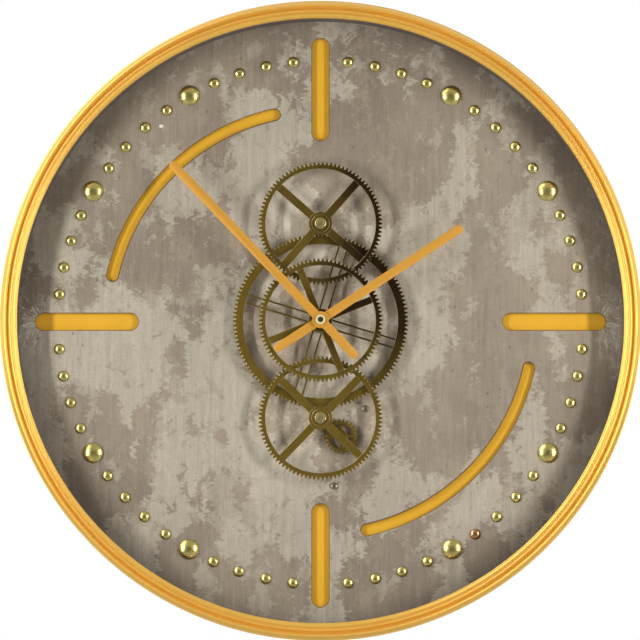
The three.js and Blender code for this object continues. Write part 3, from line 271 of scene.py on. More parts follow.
def soften(piece, width, segments=1, limit=35, edge_slot=-1):
    """Bevels the edges sharper than the limit, and may give the bevels a material slot."""
    apply_modifier(piece, "BEVEL", width=width, segments=segments, limit_method="ANGLE",
                   angle_limit=math.radians(limit), use_clamp_overlap=False, material=edge_slot,
                   harden_normals=False)


def smooth(piece, degrees=32):
    only(piece)
    bpy.ops.object.shade_smooth_by_angle(angle=math.radians(degrees))


def flat_faces(piece):
    """Shades large flat faces flat up to their softened edges."""
    apply_modifier(piece, "WEIGHTED_NORMAL", keep_sharp=True)


def painted(piece, *finishes):
    """Gives a piece its materials, with every face on the first of them."""
    piece.data.materials.clear()
    for finish in finishes:
        piece.data.materials.append(made_of(finish))
    piece.data.polygons.foreach_set("material_index", [0] * len(piece.data.polygons))


def turned(name, profile, centre=(0.0, 0.0), steps=64):
    """A piece turned round an axis along Y, from a closed profile of (radius, depth) points."""
    x, z = centre
    clear_selection()
    bpy.ops.mesh.primitive_plane_add(size=MM, location=(x + profile[0][0], profile[0][1], z))
    piece = bpy.context.object
    piece.name = name
    apply_place(piece)
    bpy.ops.object.mode_set(mode="EDIT")
    bpy.ops.mesh.select_all(action="SELECT")
    bpy.ops.mesh.merge(type="CENTER")
    for point, following in zip(profile, profile[1:] + profile[:1]):
        step = (following[0] - point[0], following[1] - point[1], 0)
        bpy.ops.mesh.extrude_vertices_move(TRANSFORM_OT_translate={"value": step})
    bpy.ops.mesh.select_all(action="SELECT")
    bpy.ops.mesh.remove_doubles(threshold=1e-6)
    bpy.ops.mesh.spin(steps=steps, angle=math.tau, center=(x, 0, z), axis=(0, 1, 0))
    bpy.ops.mesh.select_all(action="SELECT")
    bpy.ops.mesh.remove_doubles(threshold=2e-6)
    bpy.ops.mesh.normals_make_consistent(inside=False)
    bpy.ops.object.mode_set(mode="OBJECT")
    return piece


def waves(points, steps=5):
    """Joins crests and valleys of a profile with smooth waves."""
    joined = [points[0]]
    for (r0, d0), (r1, d1) in zip(points, points[1:]):
        for i in range(1, steps + 1):
            part = i / steps
            rise = (1 - math.cos(math.pi * part)) / 2
            joined.append((r0 + (r1 - r0) * part, d0 + (d1 - d0) * rise))
    return joined


def quarter_round(radius, depth, size, start, turn, steps=6):
    """Points of a quarter circle about a centre, for a profile's rounded corner."""
    angles = [start + turn * i / steps for i in range(steps + 1)]
    return [(radius + size * math.cos(a), depth + size * math.sin(a)) for a in angles]


def disc(name, radius, back, front, centre=(0.0, 0.0), sides=96, turn=0.0):
    """A cylinder along Y. Its first corner is straight up unless it is turned."""
    x, z = centre
    clear_selection()
    bpy.ops.mesh.primitive_cylinder_add(vertices=sides, radius=radius, depth=back - front,
                                        location=(x, (back + front) / 2, z),
                                        rotation=(math.pi / 2, -turn, 0))
    piece = bpy.context.object
    piece.name = name
    apply_place(piece)
    return piece


def bar(name, size, place, turn=0.0):
    """A straight bar of (length, depth, width), turned up from +X about its own middle."""
    clear_selection()
    bpy.ops.mesh.primitive_cube_add(size=1, location=place, rotation=(0, -turn, 0))
    piece = bpy.context.object
    piece.name = name
    piece.scale = size
    apply_place(piece)
    return piece


def round_bar(name, start, end, width, turn, back, front, sides=48):
    """A flat bar with round ends on a line through the axis, from one tip to the other."""
    half = width / 2
    piece = disc(name, half, back, front, (start + half, 0.0), sides)
    bpy.ops.object.mode_set(mode="EDIT")
    pick(piece, lambda co: co.x > start + half - 1e-6)
    bpy.ops.transform.translate(value=(end - start - width, 0, 0))
    bpy.ops.object.mode_set(mode="OBJECT")
    piece.rotation_euler = (0, -turn, 0)
    apply_place(piece)
    return piece


def join_shape(piece, other, operation):
    """Cuts the other solid from the piece, or adds it, and takes the other away."""
    apply_modifier(piece, "BOOLEAN", object=other, operation=operation, solver="EXACT")
    bpy.data.objects.remove(other)


def merged(name, pieces):
    """Joins pieces into one object."""
    clear_selection()
    for piece in pieces:
        piece.select_set(True)
    bpy.context.view_layer.objects.active = pieces[0]
    if len(pieces) > 1:
        bpy.ops.object.join()
    pieces[0].name = name
    pieces[0].data.name = name
    return pieces[0]


def copied(piece, name):
    """A copy of a piece with a mesh of its own."""
    twin = piece.copy()
    twin.data = piece.data.copy()
    twin.name = name
    bpy.context.scene.collection.objects.link(twin)
    return twin


def pitch_radius(teeth):
    return settings("clock_train").module * teeth / 2


def root_radius(teeth):
    return pitch_radius(teeth) - 1.25 * settings("clock_train").module


def toothed(name, teeth, phase, back, front, centre, slim=0.0):
    """A toothed disc. A tooth has two corners at its tip, two on its flanks and two at its root."""
    module = settings("clock_train").module
    pitch = pitch_radius(teeth)
    root = root_radius(teeth)
    tip = pitch + module * (1 - slim)
    x, z = centre
    step = 60 / teeth
    turn = math.radians((phase + step / 2 - 90) % step)
    piece = disc(name, root, back, front, centre, teeth * 6, turn)

    def corner(co):
        degrees = math.degrees(math.atan2(co.z - z, co.x - x)) - phase
        return round(degrees * 2 / step) % 12

    only(piece)
    bpy.ops.object.mode_set(mode="EDIT")
    for corners, radius in (((1, 11), tip), ((3, 9), pitch - slim * module)):
        pick(piece, lambda co: corner(co) in corners)
        bpy.ops.transform.resize(value=(radius / root, 1, radius / root),
                                 center_override=(x, back, z))
    bpy.ops.object.mode_set(mode="OBJECT")
    return piece


def from_node(name, node, edge, segments=2):
    """A copy of a node's shape with merged corners and softened edges."""
    piece = copied(NODES[node], name)
    piece.parent = None
    for key in list(piece.keys()):
        del piece[key]
    only(piece)
    bpy.ops.object.mode_set(mode="EDIT")
    bpy.ops.mesh.select_all(action="SELECT")
    bpy.ops.mesh.remove_doubles(threshold=2e-6)
    bpy.ops.mesh.dissolve_limited(angle_limit=math.radians(2))
    bpy.ops.object.mode_set(mode="OBJECT")
    if edge:
        soften(piece, edge, segments, limit=40)
    smooth(piece, 38)
    flat_faces(piece)
    return piece


def dress(piece, body, node=None, finish=None):
    """Gives a finished piece its body, the node it stands for and a material."""
    apply_place(piece)
    if finish:
        painted(piece, finish)
    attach(piece, body)
    if node:
        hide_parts(node)


# Node groups and materials


def add(tree, kind, inputs=None, **values):
    """Adds a node, sets its options, then sets or links its inputs."""
    node = tree.nodes.new(kind)
    for name, value in values.items():
        setattr(node, name, value)
    for key, value in (inputs or {}).items():
        if isinstance(value, bpy.types.NodeSocket):
            tree.links.new(value, node.inputs[key])
        else:
            node.inputs[key].default_value = value
    return node


def maths(tree, operation, *values, clamp=False):
    return add(tree, "ShaderNodeMath", dict(enumerate(values)), operation=operation,
               use_clamp=clamp).outputs[0]


def plus(tree, first, second):
    return maths(tree, "ADD", first, second)


def minus(tree, first, second):
    return maths(tree, "SUBTRACT", first, second)


def times(tree, first, second):
    return maths(tree, "MULTIPLY", first, second)


def rest_of(tree, part):
    """What is left of 1."""
    return minus(tree, 1.0, part)


def weighed(tree, *shares):
    """The sum of (value, weight) pairs."""
    total = None
    for value, weight in shares:
        part = times(tree, value, weight)
        total = part if total is None else plus(tree, total, part)
    return total


def scaled(tree, value, low, high, first, last, ends="LINEAR"):
    """Maps a value from one range to another and holds it there."""
    return add(tree, "ShaderNodeMapRange", {
        "Value": value, "From Min": low, "From Max": high, "To Min": first, "To Max": last,
    }, interpolation_type=ends).outputs["Result"]


def ramp(tree, value, low, high):
    """0 below one value, 1 above another, with soft ends."""
    return scaled(tree, value, low, high, 0.0, 1.0, "SMOOTHSTEP")


def axes(tree, vector):
    """A vector's X, Y and Z."""
    return add(tree, "ShaderNodeSeparateXYZ", {"Vector": vector}).outputs


def vector_of(tree, x, y, z=0.0):
    return add(tree, "ShaderNodeCombineXYZ", {"X": x, "Y": y, "Z": z}).outputs["Vector"]


def span(tree, along, aside):
    """Length of a line that runs so far along and so far aside."""
    line = vector_of(tree, along, aside)
    return add(tree, "ShaderNodeVectorMath", {0: line}, operation="LENGTH").outputs["Value"]


def vectors(tree, operation, first, second, result="Vector"):
    return add(tree, "ShaderNodeVectorMath", {0: first, 1: second}, operation=operation).outputs[result]


def noise(tree, vector, scale, detail=4.0, roughness=0.55, distortion=0.0):
    return add(tree, "ShaderNodeTexNoise", {
        "Vector": vector, "Scale": scale, "Detail": detail, "Roughness": roughness,
        "Distortion": distortion,
    }).outputs["Fac"]


def stretched(tree, vector, scale):
    return add(tree, "ShaderNodeMapping", {"Vector": vector, "Scale": scale}).outputs["Vector"]


def rgba(value):
    """A colour with full alpha. A socket is passed on as it is."""
    if isinstance(value, bpy.types.NodeSocket):
        return value
    return (*value[:3], 1.0)


def darker(value, factor):
    return tuple(part * factor for part in value)


def mixed(tree, factor, first, second, blend="MIX"):
    """Mixes two colours. The colour sockets of a Mix node are found by number only."""
    inputs = {0: factor, 6: rgba(first), 7: rgba(second)}
    return add(tree, "ShaderNodeMix", inputs, data_type="RGBA", blend_type=blend).outputs[2]


def new_group(name, inputs, outputs):
    """A shader node group with named sockets."""
    tree = bpy.data.node_groups.new(name, "ShaderNodeTree")
    for label, kind, default in inputs:
        socket = tree.interface.new_socket(name=label, in_out="INPUT", socket_type=kind)
        if default is not None:
            socket.default_value = default
    for label, kind in outputs:
        tree.interface.new_socket(name=label, in_out="OUTPUT", socket_type=kind)
    entry = tree.nodes.new("NodeGroupInput")
    result = tree.nodes.new("NodeGroupOutput")
    return tree, entry.outputs, result.inputs


def placed(tree, name, build, inputs):
    """Places a shared node group, which is built when it is first asked for."""
    shared = bpy.data.node_groups.get(name) or build()
    return add(tree, "ShaderNodeGroup", inputs, node_tree=shared).outputs


VECTOR = "NodeSocketVector"
VALUE = "NodeSocketFloat"
COLOUR = "NodeSocketColor"


def tone_group():
    """Uneven tone: a colour drifts towards another in soft clouds with fine grain on top."""
    tree, given, made = new_group("Uneven tone", [
        ("Vector", VECTOR, None), ("Colour", COLOUR, (0.5, 0.5, 0.5, 1)),
        ("Other", COLOUR, (0.4, 0.4, 0.4, 1)), ("Cloud scale", VALUE, 20.0),
        ("Grain scale", VALUE, 600.0), ("Amount", VALUE, 0.5),
    ], [("Colour", COLOUR)])
    cloud = noise(tree, given["Vector"], given["Cloud scale"], 5.0, 0.6)
    grain = noise(tree, given["Vector"], given["Grain scale"], 2.0, 0.5)
    mask = ramp(tree, weighed(tree, (cloud, 0.75), (grain, 0.25)), 0.35, 0.65)
    amount = times(tree, mask, given["Amount"])
    tree.links.new(mixed(tree, amount, given["Colour"], given["Other"]), made["Colour"])
    return tree


def spun_group():
    """Fine rings round the clock's axis, as a lathe leaves them."""
    tree, given, made = new_group("Spun rings", [
        ("Vector", VECTOR, None), ("Lines per metre", VALUE, 2500.0),
    ], [("Mask", VALUE), ("Radius", VALUE)])
    parts = axes(tree, given["Vector"])
    radius = span(tree, parts["X"], parts["Z"])
    mask = noise(tree, vector_of(tree, radius, parts["Y"]), given["Lines per metre"], 2.0, 0.6)
    tree.links.new(mask, made["Mask"])
    tree.links.new(radius, made["Radius"])
    return tree


def blotch_group():
    """Ragged blotches: where a stretched, warped noise passes a level."""
    tree, given, made = new_group("Blotches", [
        ("Vector", VECTOR, None), ("Scale", VALUE, 10.0), ("Bias", VALUE, 0.0),
        ("Level", VALUE, 0.5), ("Softness", VALUE, 0.03), ("Upright", VALUE, 0.6),
    ], [("Mask", VALUE)])
    parts = axes(tree, given["Vector"])
    comb = noise(tree, stretched(tree, given["Vector"], (150, 0, 14)), 1.0, 2.0, 0.5)
    side = noise(tree, stretched(tree, given["Vector"], (12, 0, 240)), 1.0, 2.0, 0.5)
    across = maths(tree, "MULTIPLY_ADD", side, 0.022, parts["X"])
    tall = times(tree, maths(tree, "MULTIPLY_ADD", comb, 0.02, parts["Z"]), given["Upright"])
    field = noise(tree, vector_of(tree, across, parts["Y"], tall), given["Scale"], 10.0, 0.64)
    level = plus(tree, field, given["Bias"])
    low = minus(tree, given["Level"], given["Softness"])
    high = plus(tree, given["Level"], given["Softness"])
    tree.links.new(ramp(tree, level, low, high), made["Mask"])
    return tree


def area_group():
    """Adds a soft round area to a value, so that a pattern gets lighter or darker there."""
    tree, given, made = new_group("Soft area", [
        ("Value", VALUE, 0.0), ("Vector", VECTOR, None), ("Middle", VECTOR, (0, 0, 0)),
        ("Radius", VALUE, 0.05), ("Strength", VALUE, 0.1),
    ], [("Value", VALUE)])
    flat = vectors(tree, "MULTIPLY", given["Vector"], (1, 0, 1))
    apart = vectors(tree, "DISTANCE", flat, given["Middle"], "Value")
    near = maths(tree, "SUBTRACT", 1.0, maths(tree, "DIVIDE", apart, given["Radius"]), clamp=True)
    soft = times(tree, times(tree, near, near), given["Strength"])
    tree.links.new(plus(tree, given["Value"], soft), made["Value"])
    return tree


def toned(tree, place, tint, other, cloud, grain, amount):
    """A colour that drifts between two tones."""
    return placed(tree, "Uneven tone", tone_group, {
        "Vector": place, "Colour": rgba(tint), "Other": rgba(other), "Cloud scale": cloud,
        "Grain scale": grain, "Amount": amount,
    })["Colour"]


def with_areas(tree, value, place, areas):
    """Adds soft round areas to a value, each with its x, z, radius and strength."""
    for x, z, radius, strength in areas:
        value = placed(tree, "Soft area", area_group, {
            "Value": value, "Vector": place, "Middle": (x, 0, z), "Radius": radius,
            "Strength": strength,
        })["Value"]
    return value


def new_material(name, metallic, roughness, **values):
    """A material with one Principled shader. Gives it with its tree, shader and object coordinates."""
    made = bpy.data.materials.new(name)
    made.use_nodes = True
    tree = made.node_tree
    shader = tree.nodes["Principled BSDF"]
    shader.inputs["Metallic"].default_value = metallic
    shader.inputs["Roughness"].default_value = roughness
    for label, value in values.items():
        shader.inputs[label.replace("_", " ")].default_value = value
    place = tree.nodes.new("ShaderNodeTexCoord").outputs["Object"]
    return made, tree, shader, place


def surface(tree, shader, tint, height, depth, rough=None):
    """Links a colour, a relief of the given depth and, where there is one, an uneven roughness."""
    tree.links.new(tint, shader.inputs["Base Color"])
    bump = add(tree, "ShaderNodeBump", {"Height": height, "Distance": depth, "Strength": 1.0})
    tree.links.new(bump.outputs["Normal"], shader.inputs["Normal"])
    if rough is not None:
        tree.links.new(rough, shader.inputs["Roughness"])


def coated(name, tint, other, metallic, roughness, cloud=25.0, grain=900.0, amount=0.5,
           rough_change=0.08, relief=0.02 * MM, **values):
    """A metal, paint or plastic with uneven tone, uneven polish and fine grain."""
    made, tree, shader, place = new_material(name, metallic, roughness, **values)
    polish = noise(tree, place, cloud * 3, 4.0, 0.6)
    rough = scaled(tree, polish, 0.3, 0.7, roughness - rough_change, roughness + rough_change)
    fine = noise(tree, place, grain, 3.0, 0.6)
    surface(tree, shader, toned(tree, place, tint, other, cloud, grain, amount), fine, relief, rough)
    return made


def rim_gold():
    """Gilt metal with fine turned rings and painted shade in the two grooves."""
    rim = settings("clock_finish").rim
    case = settings("clock_case")
    made, tree, shader, place = new_material("Rim gold", 0.56, 0.36, Coat_Weight=0.35,
                                             Coat_Roughness=0.18)
    rings = placed(tree, "Spun rings", spun_group, {"Vector": place, "Lines per metre": 3600.0})
    lines = ramp(tree, rings["Mask"], 0.3, 0.7)
    tint = toned(tree, place, rim, darker(rim, 0.92), 14.0, 900.0, 0.6)
    tint = mixed(tree, times(tree, lines, 0.04), tint, darker(rim, 0.7))
    # Painted shade: the colour is darkened along the two grooves, where shade falls
    for inset, amount in ((case.groove, 0.14), (case.second_groove, 0.08)):
        groove = outer_radius("bezel_ring") - inset
        aside = maths(tree, "ABSOLUTE", minus(tree, rings["Radius"], groove))
        painted_groove_shade = rest_of(tree, ramp(tree, aside, 0.3 * MM, 1.6 * MM))
        tint = mixed(tree, times(tree, painted_groove_shade, amount), tint, darker(rim, 0.25))
    surface(tree, shader, tint, lines, 0.004 * MM, scaled(tree, lines, 0.0, 1.0, 0.33, 0.39))
    return made


def bronze():
    """Antique bronze that has gone dark in clouds, with painted shade that makes it darker towards the
    upper right.
    """
    finish = settings("clock_finish")
    made, tree, shader, place = new_material("Antique bronze", 0.8, 0.42)
    clouds = noise(tree, place, 9.0, 5.0, 0.55)
    parts = axes(tree, place)
    # Painted shade: the wheels darken towards the upper right, as if lit from the lower left
    painted_shade_slope = weighed(tree, (parts["X"], 3.2), (parts["Z"], 1.8))
    darkened_with_painted_shade = ramp(tree, plus(tree, clouds, painted_shade_slope), 0.38, 0.80)
    tint = toned(tree, place, finish.bronze, darker(finish.bronze, 0.75), 60.0, 1200.0, 0.6)
    fine = noise(tree, place, 700.0, 3.0, 0.6)
    rough = scaled(tree, fine, 0.0, 1.0, 0.34, 0.52)
    surface(tree, shader, mixed(tree, darkened_with_painted_shade, tint, finish.bronze_dark), fine, 0.02 * MM, rough)
    return made


def hardboard():
    """Pressed brown fibres."""
    board = settings("clock_finish").board
    made, tree, shader, place = new_material("Hardboard", 0.0, 0.75)
    fibres = noise(tree, stretched(tree, place, (260, 1, 260)), 1.0, 8.0, 0.75, 1.5)
    flecks = noise(tree, stretched(tree, place, (60, 1, 900)), 1.0, 3.0, 0.6)
    blend = weighed(tree, (fibres, 0.7), (flecks, 0.3))
    tint = mixed(tree, ramp(tree, blend, 0.35, 0.65), darker(board, 0.6), darker(board, 1.7))
    surface(tree, shader, tint, blend, 0.1 * MM)
    return made


# Broad areas of the dial: x and z of the middle, radius, and how much lighter or darker
DIAL_AREAS = [
    (-0.195, -0.020, 0.12, 0.12),
    (-0.075, -0.130, 0.13, 0.13),
    (0.094, -0.028, 0.10, 0.14),
    (0.187, 0.090, 0.09, 0.09),
    (0.140, -0.160, 0.06, 0.08),
    (-0.060, 0.210, 0.05, 0.08),
    (0.052, 0.200, 0.12, -0.10),
    (-0.020, 0.115, 0.08, 0.16),
    (0.055, 0.095, 0.06, -0.08),
    (0.112, -0.230, 0.09, -0.06),
    (-0.169, -0.164, 0.09, -0.06),
    (-0.120, 0.190, 0.10, -0.06),
    (0.190, -0.070, 0.09, -0.06),
]

# Coats of the dial: scale, level, softness, squash, shift of the pattern, how far the broad areas
# lead it, how well it covers, and its colour
DIAL_COATS = {
    "wide": (17.0, 0.535, 0.014, 0.6, (3.1, 0, 1.7), 1.0, 0.75, "dial_light"),
    "second": (40.0, 0.57, 0.014, 0.6, (7.3, 0, 5.2), 1.0, 0.5, "dial_light"),
    "flaked": (55.0, 0.58, 0.014, 0.55, (1.9, 0, 8.8), -0.5, 0.6, "dial_mid"),
    "small": (110.0, 0.62, 0.02, 0.8, (4.4, 0, 2.1), 0.0, 0.5, "dial_dark"),
    "flecks": (80.0, 0.66, 0.03, 0.8, (9.1, 0, 6.5), 0.0, 0.4, "dial_fleck"),
}

# The one pale chip: x and z of its middle, and how much wider than tall it is
CHIP_PLACE = (-0.150, 0.1847)
CHIP_SQUASH = 1.35


def dial_coats(tree, place, bias, tint):
    """Lays the coats over each other. Gives the colour and where each coat is."""
    masks = {}
    for name, (scale, level, softness, upright, shift, lead, cover, label) in DIAL_COATS.items():
        masks[name] = placed(tree, "Blotches", blotch_group, {
            "Vector": vectors(tree, "ADD", place, shift), "Scale": scale,
            "Bias": times(tree, bias, lead), "Level": level, "Softness": softness,
            "Upright": upright,
        })["Mask"]
        coat = getattr(settings("clock_finish"), label)
        tint = mixed(tree, times(tree, masks[name], cover), tint, coat)
    return tint, masks


def brush_marks(tree, place):
    streaks = noise(tree, stretched(tree, place, (190, 1, 16)), 1.0, 5.0, 0.65)
    warp = noise(tree, stretched(tree, place, (620, 1, 90)), 1.0, 3.0, 0.6)
    weft = noise(tree, stretched(tree, place, (90, 1, 620)), 1.0, 3.0, 0.6)
    return weighed(tree, (streaks, 0.5), (warp, 0.3), (weft, 0.2))


def dial_shade(tree, place, radius, clouds, marks):
    """Brush marks, painted shade along the outer edge next to the rim and paler rounds behind the
    wheels, painted light against the wheels' shade, as one grey.
    """
    brushed = scaled(tree, marks, 0.36, 0.64, 0.80, 1.18)
    edge = plus(tree, radius, times(tree, clouds, 0.03))
    # Painted shade: the dial darkens towards the rim, where the rim shades it
    darkened_with_painted_shade = scaled(tree, edge, 0.235, 0.3, 1.0, 0.84, "SMOOTHSTEP")
    rise = centre_of("top_wheel").z
    # Painted light: paler rounds behind the three wheels make up for the shade they cast on the dial
    painted_light_rounds = [(0, z, 0.11, 0.75) for z in (-rise, 0, rise)]
    level = with_areas(tree, times(tree, brushed, darkened_with_painted_shade), place, painted_light_rounds)
    grey = add(tree, "ShaderNodeCombineColor", {"Red": level, "Green": level, "Blue": level})
    return grey.outputs["Color"]


def dial_specks(tree, place):
    """Small ragged dots in about a quarter of the cells of a cell pattern."""
    cells = add(tree, "ShaderNodeTexVoronoi", {
        "Vector": stretched(tree, place, (1, 1, 0.75)), "Scale": 95.0, "Randomness": 1.0,
    }).outputs
    chance = add(tree, "ShaderNodeSeparateColor", {"Color": cells["Color"]}).outputs["Red"]
    ragged = plus(tree, cells["Distance"], times(tree, noise(tree, place, 900.0), 0.16))
    dots = rest_of(tree, ramp(tree, ragged, 0.14, 0.24))
    return times(tree, dots, maths(tree, "GREATER_THAN", chance, 0.76))


def arc_reach(dial):
    """Angle from the middle of a curved slot to the middle of one of its round ends."""
    return dial.arc_span / 2 - dial.arc_width / 2 / dial.arc_radius


def straight_gap(tree, parts):
    """Distance in the dial's plane from the nearest straight slot's edge."""
    dial = settings("clock_dial")
    half = dial.slot_width / 2
    across = maths(tree, "ABSOLUTE", parts["X"])
    upright = maths(tree, "ABSOLUTE", parts["Z"])
    along = maths(tree, "MAXIMUM", across, upright)
    aside = maths(tree, "MINIMUM", across, upright)
    held = maths(tree, "MAXIMUM", along, dial.slot_inner + half)
    held = maths(tree, "MINIMUM", held, dial.slot_outer - half)
    return minus(tree, span(tree, minus(tree, along, held), aside), half)


def curved_gap(tree, parts):
    """Distance from the nearest curved slot's edge. They lie about the line up to the left."""
    dial = settings("clock_dial")
    root = math.sqrt(0.5)
    along = maths(tree, "ABSOLUTE", times(tree, minus(tree, parts["Z"], parts["X"]), root))
    aside = maths(tree, "ABSOLUTE", times(tree, plus(tree, parts["Z"], parts["X"]), root))
    last = arc_reach(dial)
    inside = maths(tree, "LESS_THAN", maths(tree, "ARCTAN2", aside, along), last)
    middle = minus(tree, span(tree, along, aside), dial.arc_radius)
    to_end = span(tree, minus(tree, along, dial.arc_radius * math.cos(last)),
                  minus(tree, aside, dial.arc_radius * math.sin(last)))
    curve = plus(tree, times(tree, inside, maths(tree, "ABSOLUTE", middle)),
                 times(tree, rest_of(tree, inside), to_end))
    return minus(tree, curve, dial.arc_width / 2)


def slot_rims(tree, parts, radius, tint):
    """A pale halo round every slot and a dark line on its edge, wider inside the curved ones."""
    finish = settings("clock_finish")
    gap = maths(tree, "MINIMUM", straight_gap(tree, parts), curved_gap(tree, parts))
    halo = rest_of(tree, ramp(tree, gap, 0.8 * MM, 2.0 * MM))
    tint = mixed(tree, times(tree, halo, 0.1), tint, finish.slot_halo)
    near_curved = maths(tree, "LESS_THAN", times(tree, parts["X"], parts["Z"]), -0.004)
    within = maths(tree, "LESS_THAN", radius, settings("clock_dial").arc_radius)
    line = maths(tree, "MULTIPLY_ADD", times(tree, near_curved, within), -0.5 * MM, gap)
    dark_edge = rest_of(tree, ramp(tree, line, 0.2 * MM, 0.9 * MM))
    return mixed(tree, times(tree, dark_edge, 0.9), tint, finish.slot_edge_line)


def end_rays(tree, parts):
    """Fine rays that fan out from the outer ends of the left and right slots."""
    dial = settings("clock_dial")
    across = minus(tree, maths(tree, "ABSOLUTE", parts["X"]), dial.slot_outer - 2 * dial.edge)
    turn = maths(tree, "ARCTAN2", parts["Z"], plus(tree, across, 6 * MM))
    reach = span(tree, across, parts["Z"])
    fan = noise(tree, vector_of(tree, turn, times(tree, reach, 12.0)), 5.5, 3.0, 0.7)
    rays = ramp(tree, fan, 0.55, 0.61)
    near = rest_of(tree, ramp(tree, reach, 12 * MM, 36 * MM))
    outside = ramp(tree, across, -12 * MM, -2 * MM)
    return times(tree, times(tree, rays, near), outside)


def pale_chip(tree, place):
    flat = vectors(tree, "MULTIPLY", place, (1, 0, CHIP_SQUASH))
    middle = (CHIP_PLACE[0], 0, CHIP_PLACE[1] * CHIP_SQUASH)
    apart = vectors(tree, "DISTANCE", flat, middle, "Value")
    return rest_of(tree, ramp(tree, apart, 1.8 * MM, 2.4 * MM))


def mottled_dial():
    """Plaster in light and dark coats that have flaked, with brush marks, specks and rays."""
    finish = settings("clock_finish")
    made, tree, shader, place = new_material("Mottled plaster", 0.0, 0.72, Specular_IOR_Level=0.3)
    parts = axes(tree, place)
    radius = span(tree, parts["X"], parts["Z"])
    bias = with_areas(tree, 0.0, place, DIAL_AREAS)
    clouds = noise(tree, place, 6.0, 4.0, 0.6)
    marks = brush_marks(tree, place)
    ground = ramp(tree, plus(tree, clouds, bias), 0.36, 0.66)
    tint = mixed(tree, ground, finish.dial_dark, finish.dial_mid)
    tint, coats = dial_coats(tree, place, bias, tint)
    tint = mixed(tree, 1.0, tint, dial_shade(tree, place, radius, clouds, marks), "MULTIPLY")
    specks = dial_specks(tree, place)
    tint = mixed(tree, times(tree, specks, 0.6), tint, darker(finish.dial_dark, 0.6))
    tint = slot_rims(tree, parts, radius, tint)
    rays = end_rays(tree, parts)
    tint = mixed(tree, times(tree, rays, 0.75), tint, finish.ray)
    tint = mixed(tree, pale_chip(tree, place), tint, finish.chip)
    height = weighed(tree, (marks, 0.5), (coats["wide"], 0.25), (coats["second"], 0.15),
                     (coats["flaked"], -0.2), (rays, 0.8))
    surface(tree, shader, tint, height, 0.18 * MM, scaled(tree, marks, 0.0, 1.0, 0.62, 0.85))
    return made


NAIL = {"cloud": 160.0, "grain": 2500.0, "amount": 0.4, "rough_change": 0.05, "Coat_Weight": 0.5,
        "Coat_Roughness": 0.15}
PAINT = {"cloud": 22.0, "grain": 1100.0, "amount": 0.6, "relief": 0.04 * MM}
MOULDED = {"cloud": 35.0, "grain": 1600.0, "amount": 0.5, "relief": 0.05 * MM}

# Finishes that differ by their values only: name, colour, how dark the other tone is, metallic,
# roughness, and what else sets them apart
PLAIN_FINISHES = {
    "plate": ("Plate gold", "plate", 0.9, 0.2, 0.42,
              {"cloud": 18.0, "grain": 1200.0, "amount": 0.6, "rough_change": 0.06}),
    "hand": ("Hand gold", "hand", 0.93, 0.25, 0.46,
             {"cloud": 30.0, "grain": 1500.0, "amount": 0.6, "rough_change": 0.05}),
    "nail": ("Polished brass", "brass", 0.6, 1.0, 0.27, NAIL),
    "coppery": ("Coppery brass", "copper", 0.6, 1.0, 0.27, NAIL),
    "brass": ("Turned brass", "turned", 0.6, 1.0, 0.3, {"cloud": 240.0, "grain": 3000.0}),
    # Wheel bevels: wear, and a painted highlight along the edges
    "edge": ("Worn bronze edge", "worn", 0.5, 1.0, 0.34, {"cloud": 70.0, "amount": 0.8}),
    "well": ("Well paint", "well", 0.75, 0.0, 0.6, PAINT),
    "dark_edge": ("Cut edge", "cut_edge", 0.75, 0.0, 0.8, PAINT),
    "plastic": ("Black plastic", "plastic", 0.8, 0.0, 0.45, MOULDED),
    "ivory": ("Cream plastic", "ivory", 0.8, 0.0, 0.35, MOULDED),
    "green": ("Green glaze", "green", (0.02, 0.03, 0.005), 0.0, 0.6,
              {"cloud": 400.0, "Specular_IOR_Level": 0.12}),
    "steel": ("Zinc plating", "steel", 0.75, 1.0, 0.32,
              {"cloud": 120.0, "amount": 0.7, "rough_change": 0.1}),
    "dull": ("Dull nickel", "nickel", (0.16, 0.14, 0.09), 1.0, 0.36, {"cloud": 200.0}),
    "sleeve": ("Cell sleeve", "sleeve", 0.8, 0.4, 0.3, {"cloud": 40.0, "amount": 0.4}),
}
OWN_FINISHES = {"rim": rim_gold, "bronze": bronze, "dial": mottled_dial, "board": hardboard}
MADE = {}


def plain_finish(label, tint, other, metallic, roughness, more):
    """The other tone is a share of the colour, or a colour of its own."""
    tint = getattr(settings("clock_finish"), tint)
    if not isinstance(other, tuple):
        other = darker(tint, other)
    return coated(label, tint, other, metallic, roughness, **more)


def made_of(name):
    """A material by its short name, built when it is first asked for."""
    if name in OWN_FINISHES and name not in MADE:
        MADE[name] = OWN_FINISHES[name]()
    if name not in MADE:
        MADE[name] = plain_finish(*PLAIN_FINISHES[name])
    return MADE[name]


# Pieces


class ClockOperator(bpy.types.Operator):
    """Shared options of the clock's operators."""

    bl_options = {"REGISTER", "UNDO"}


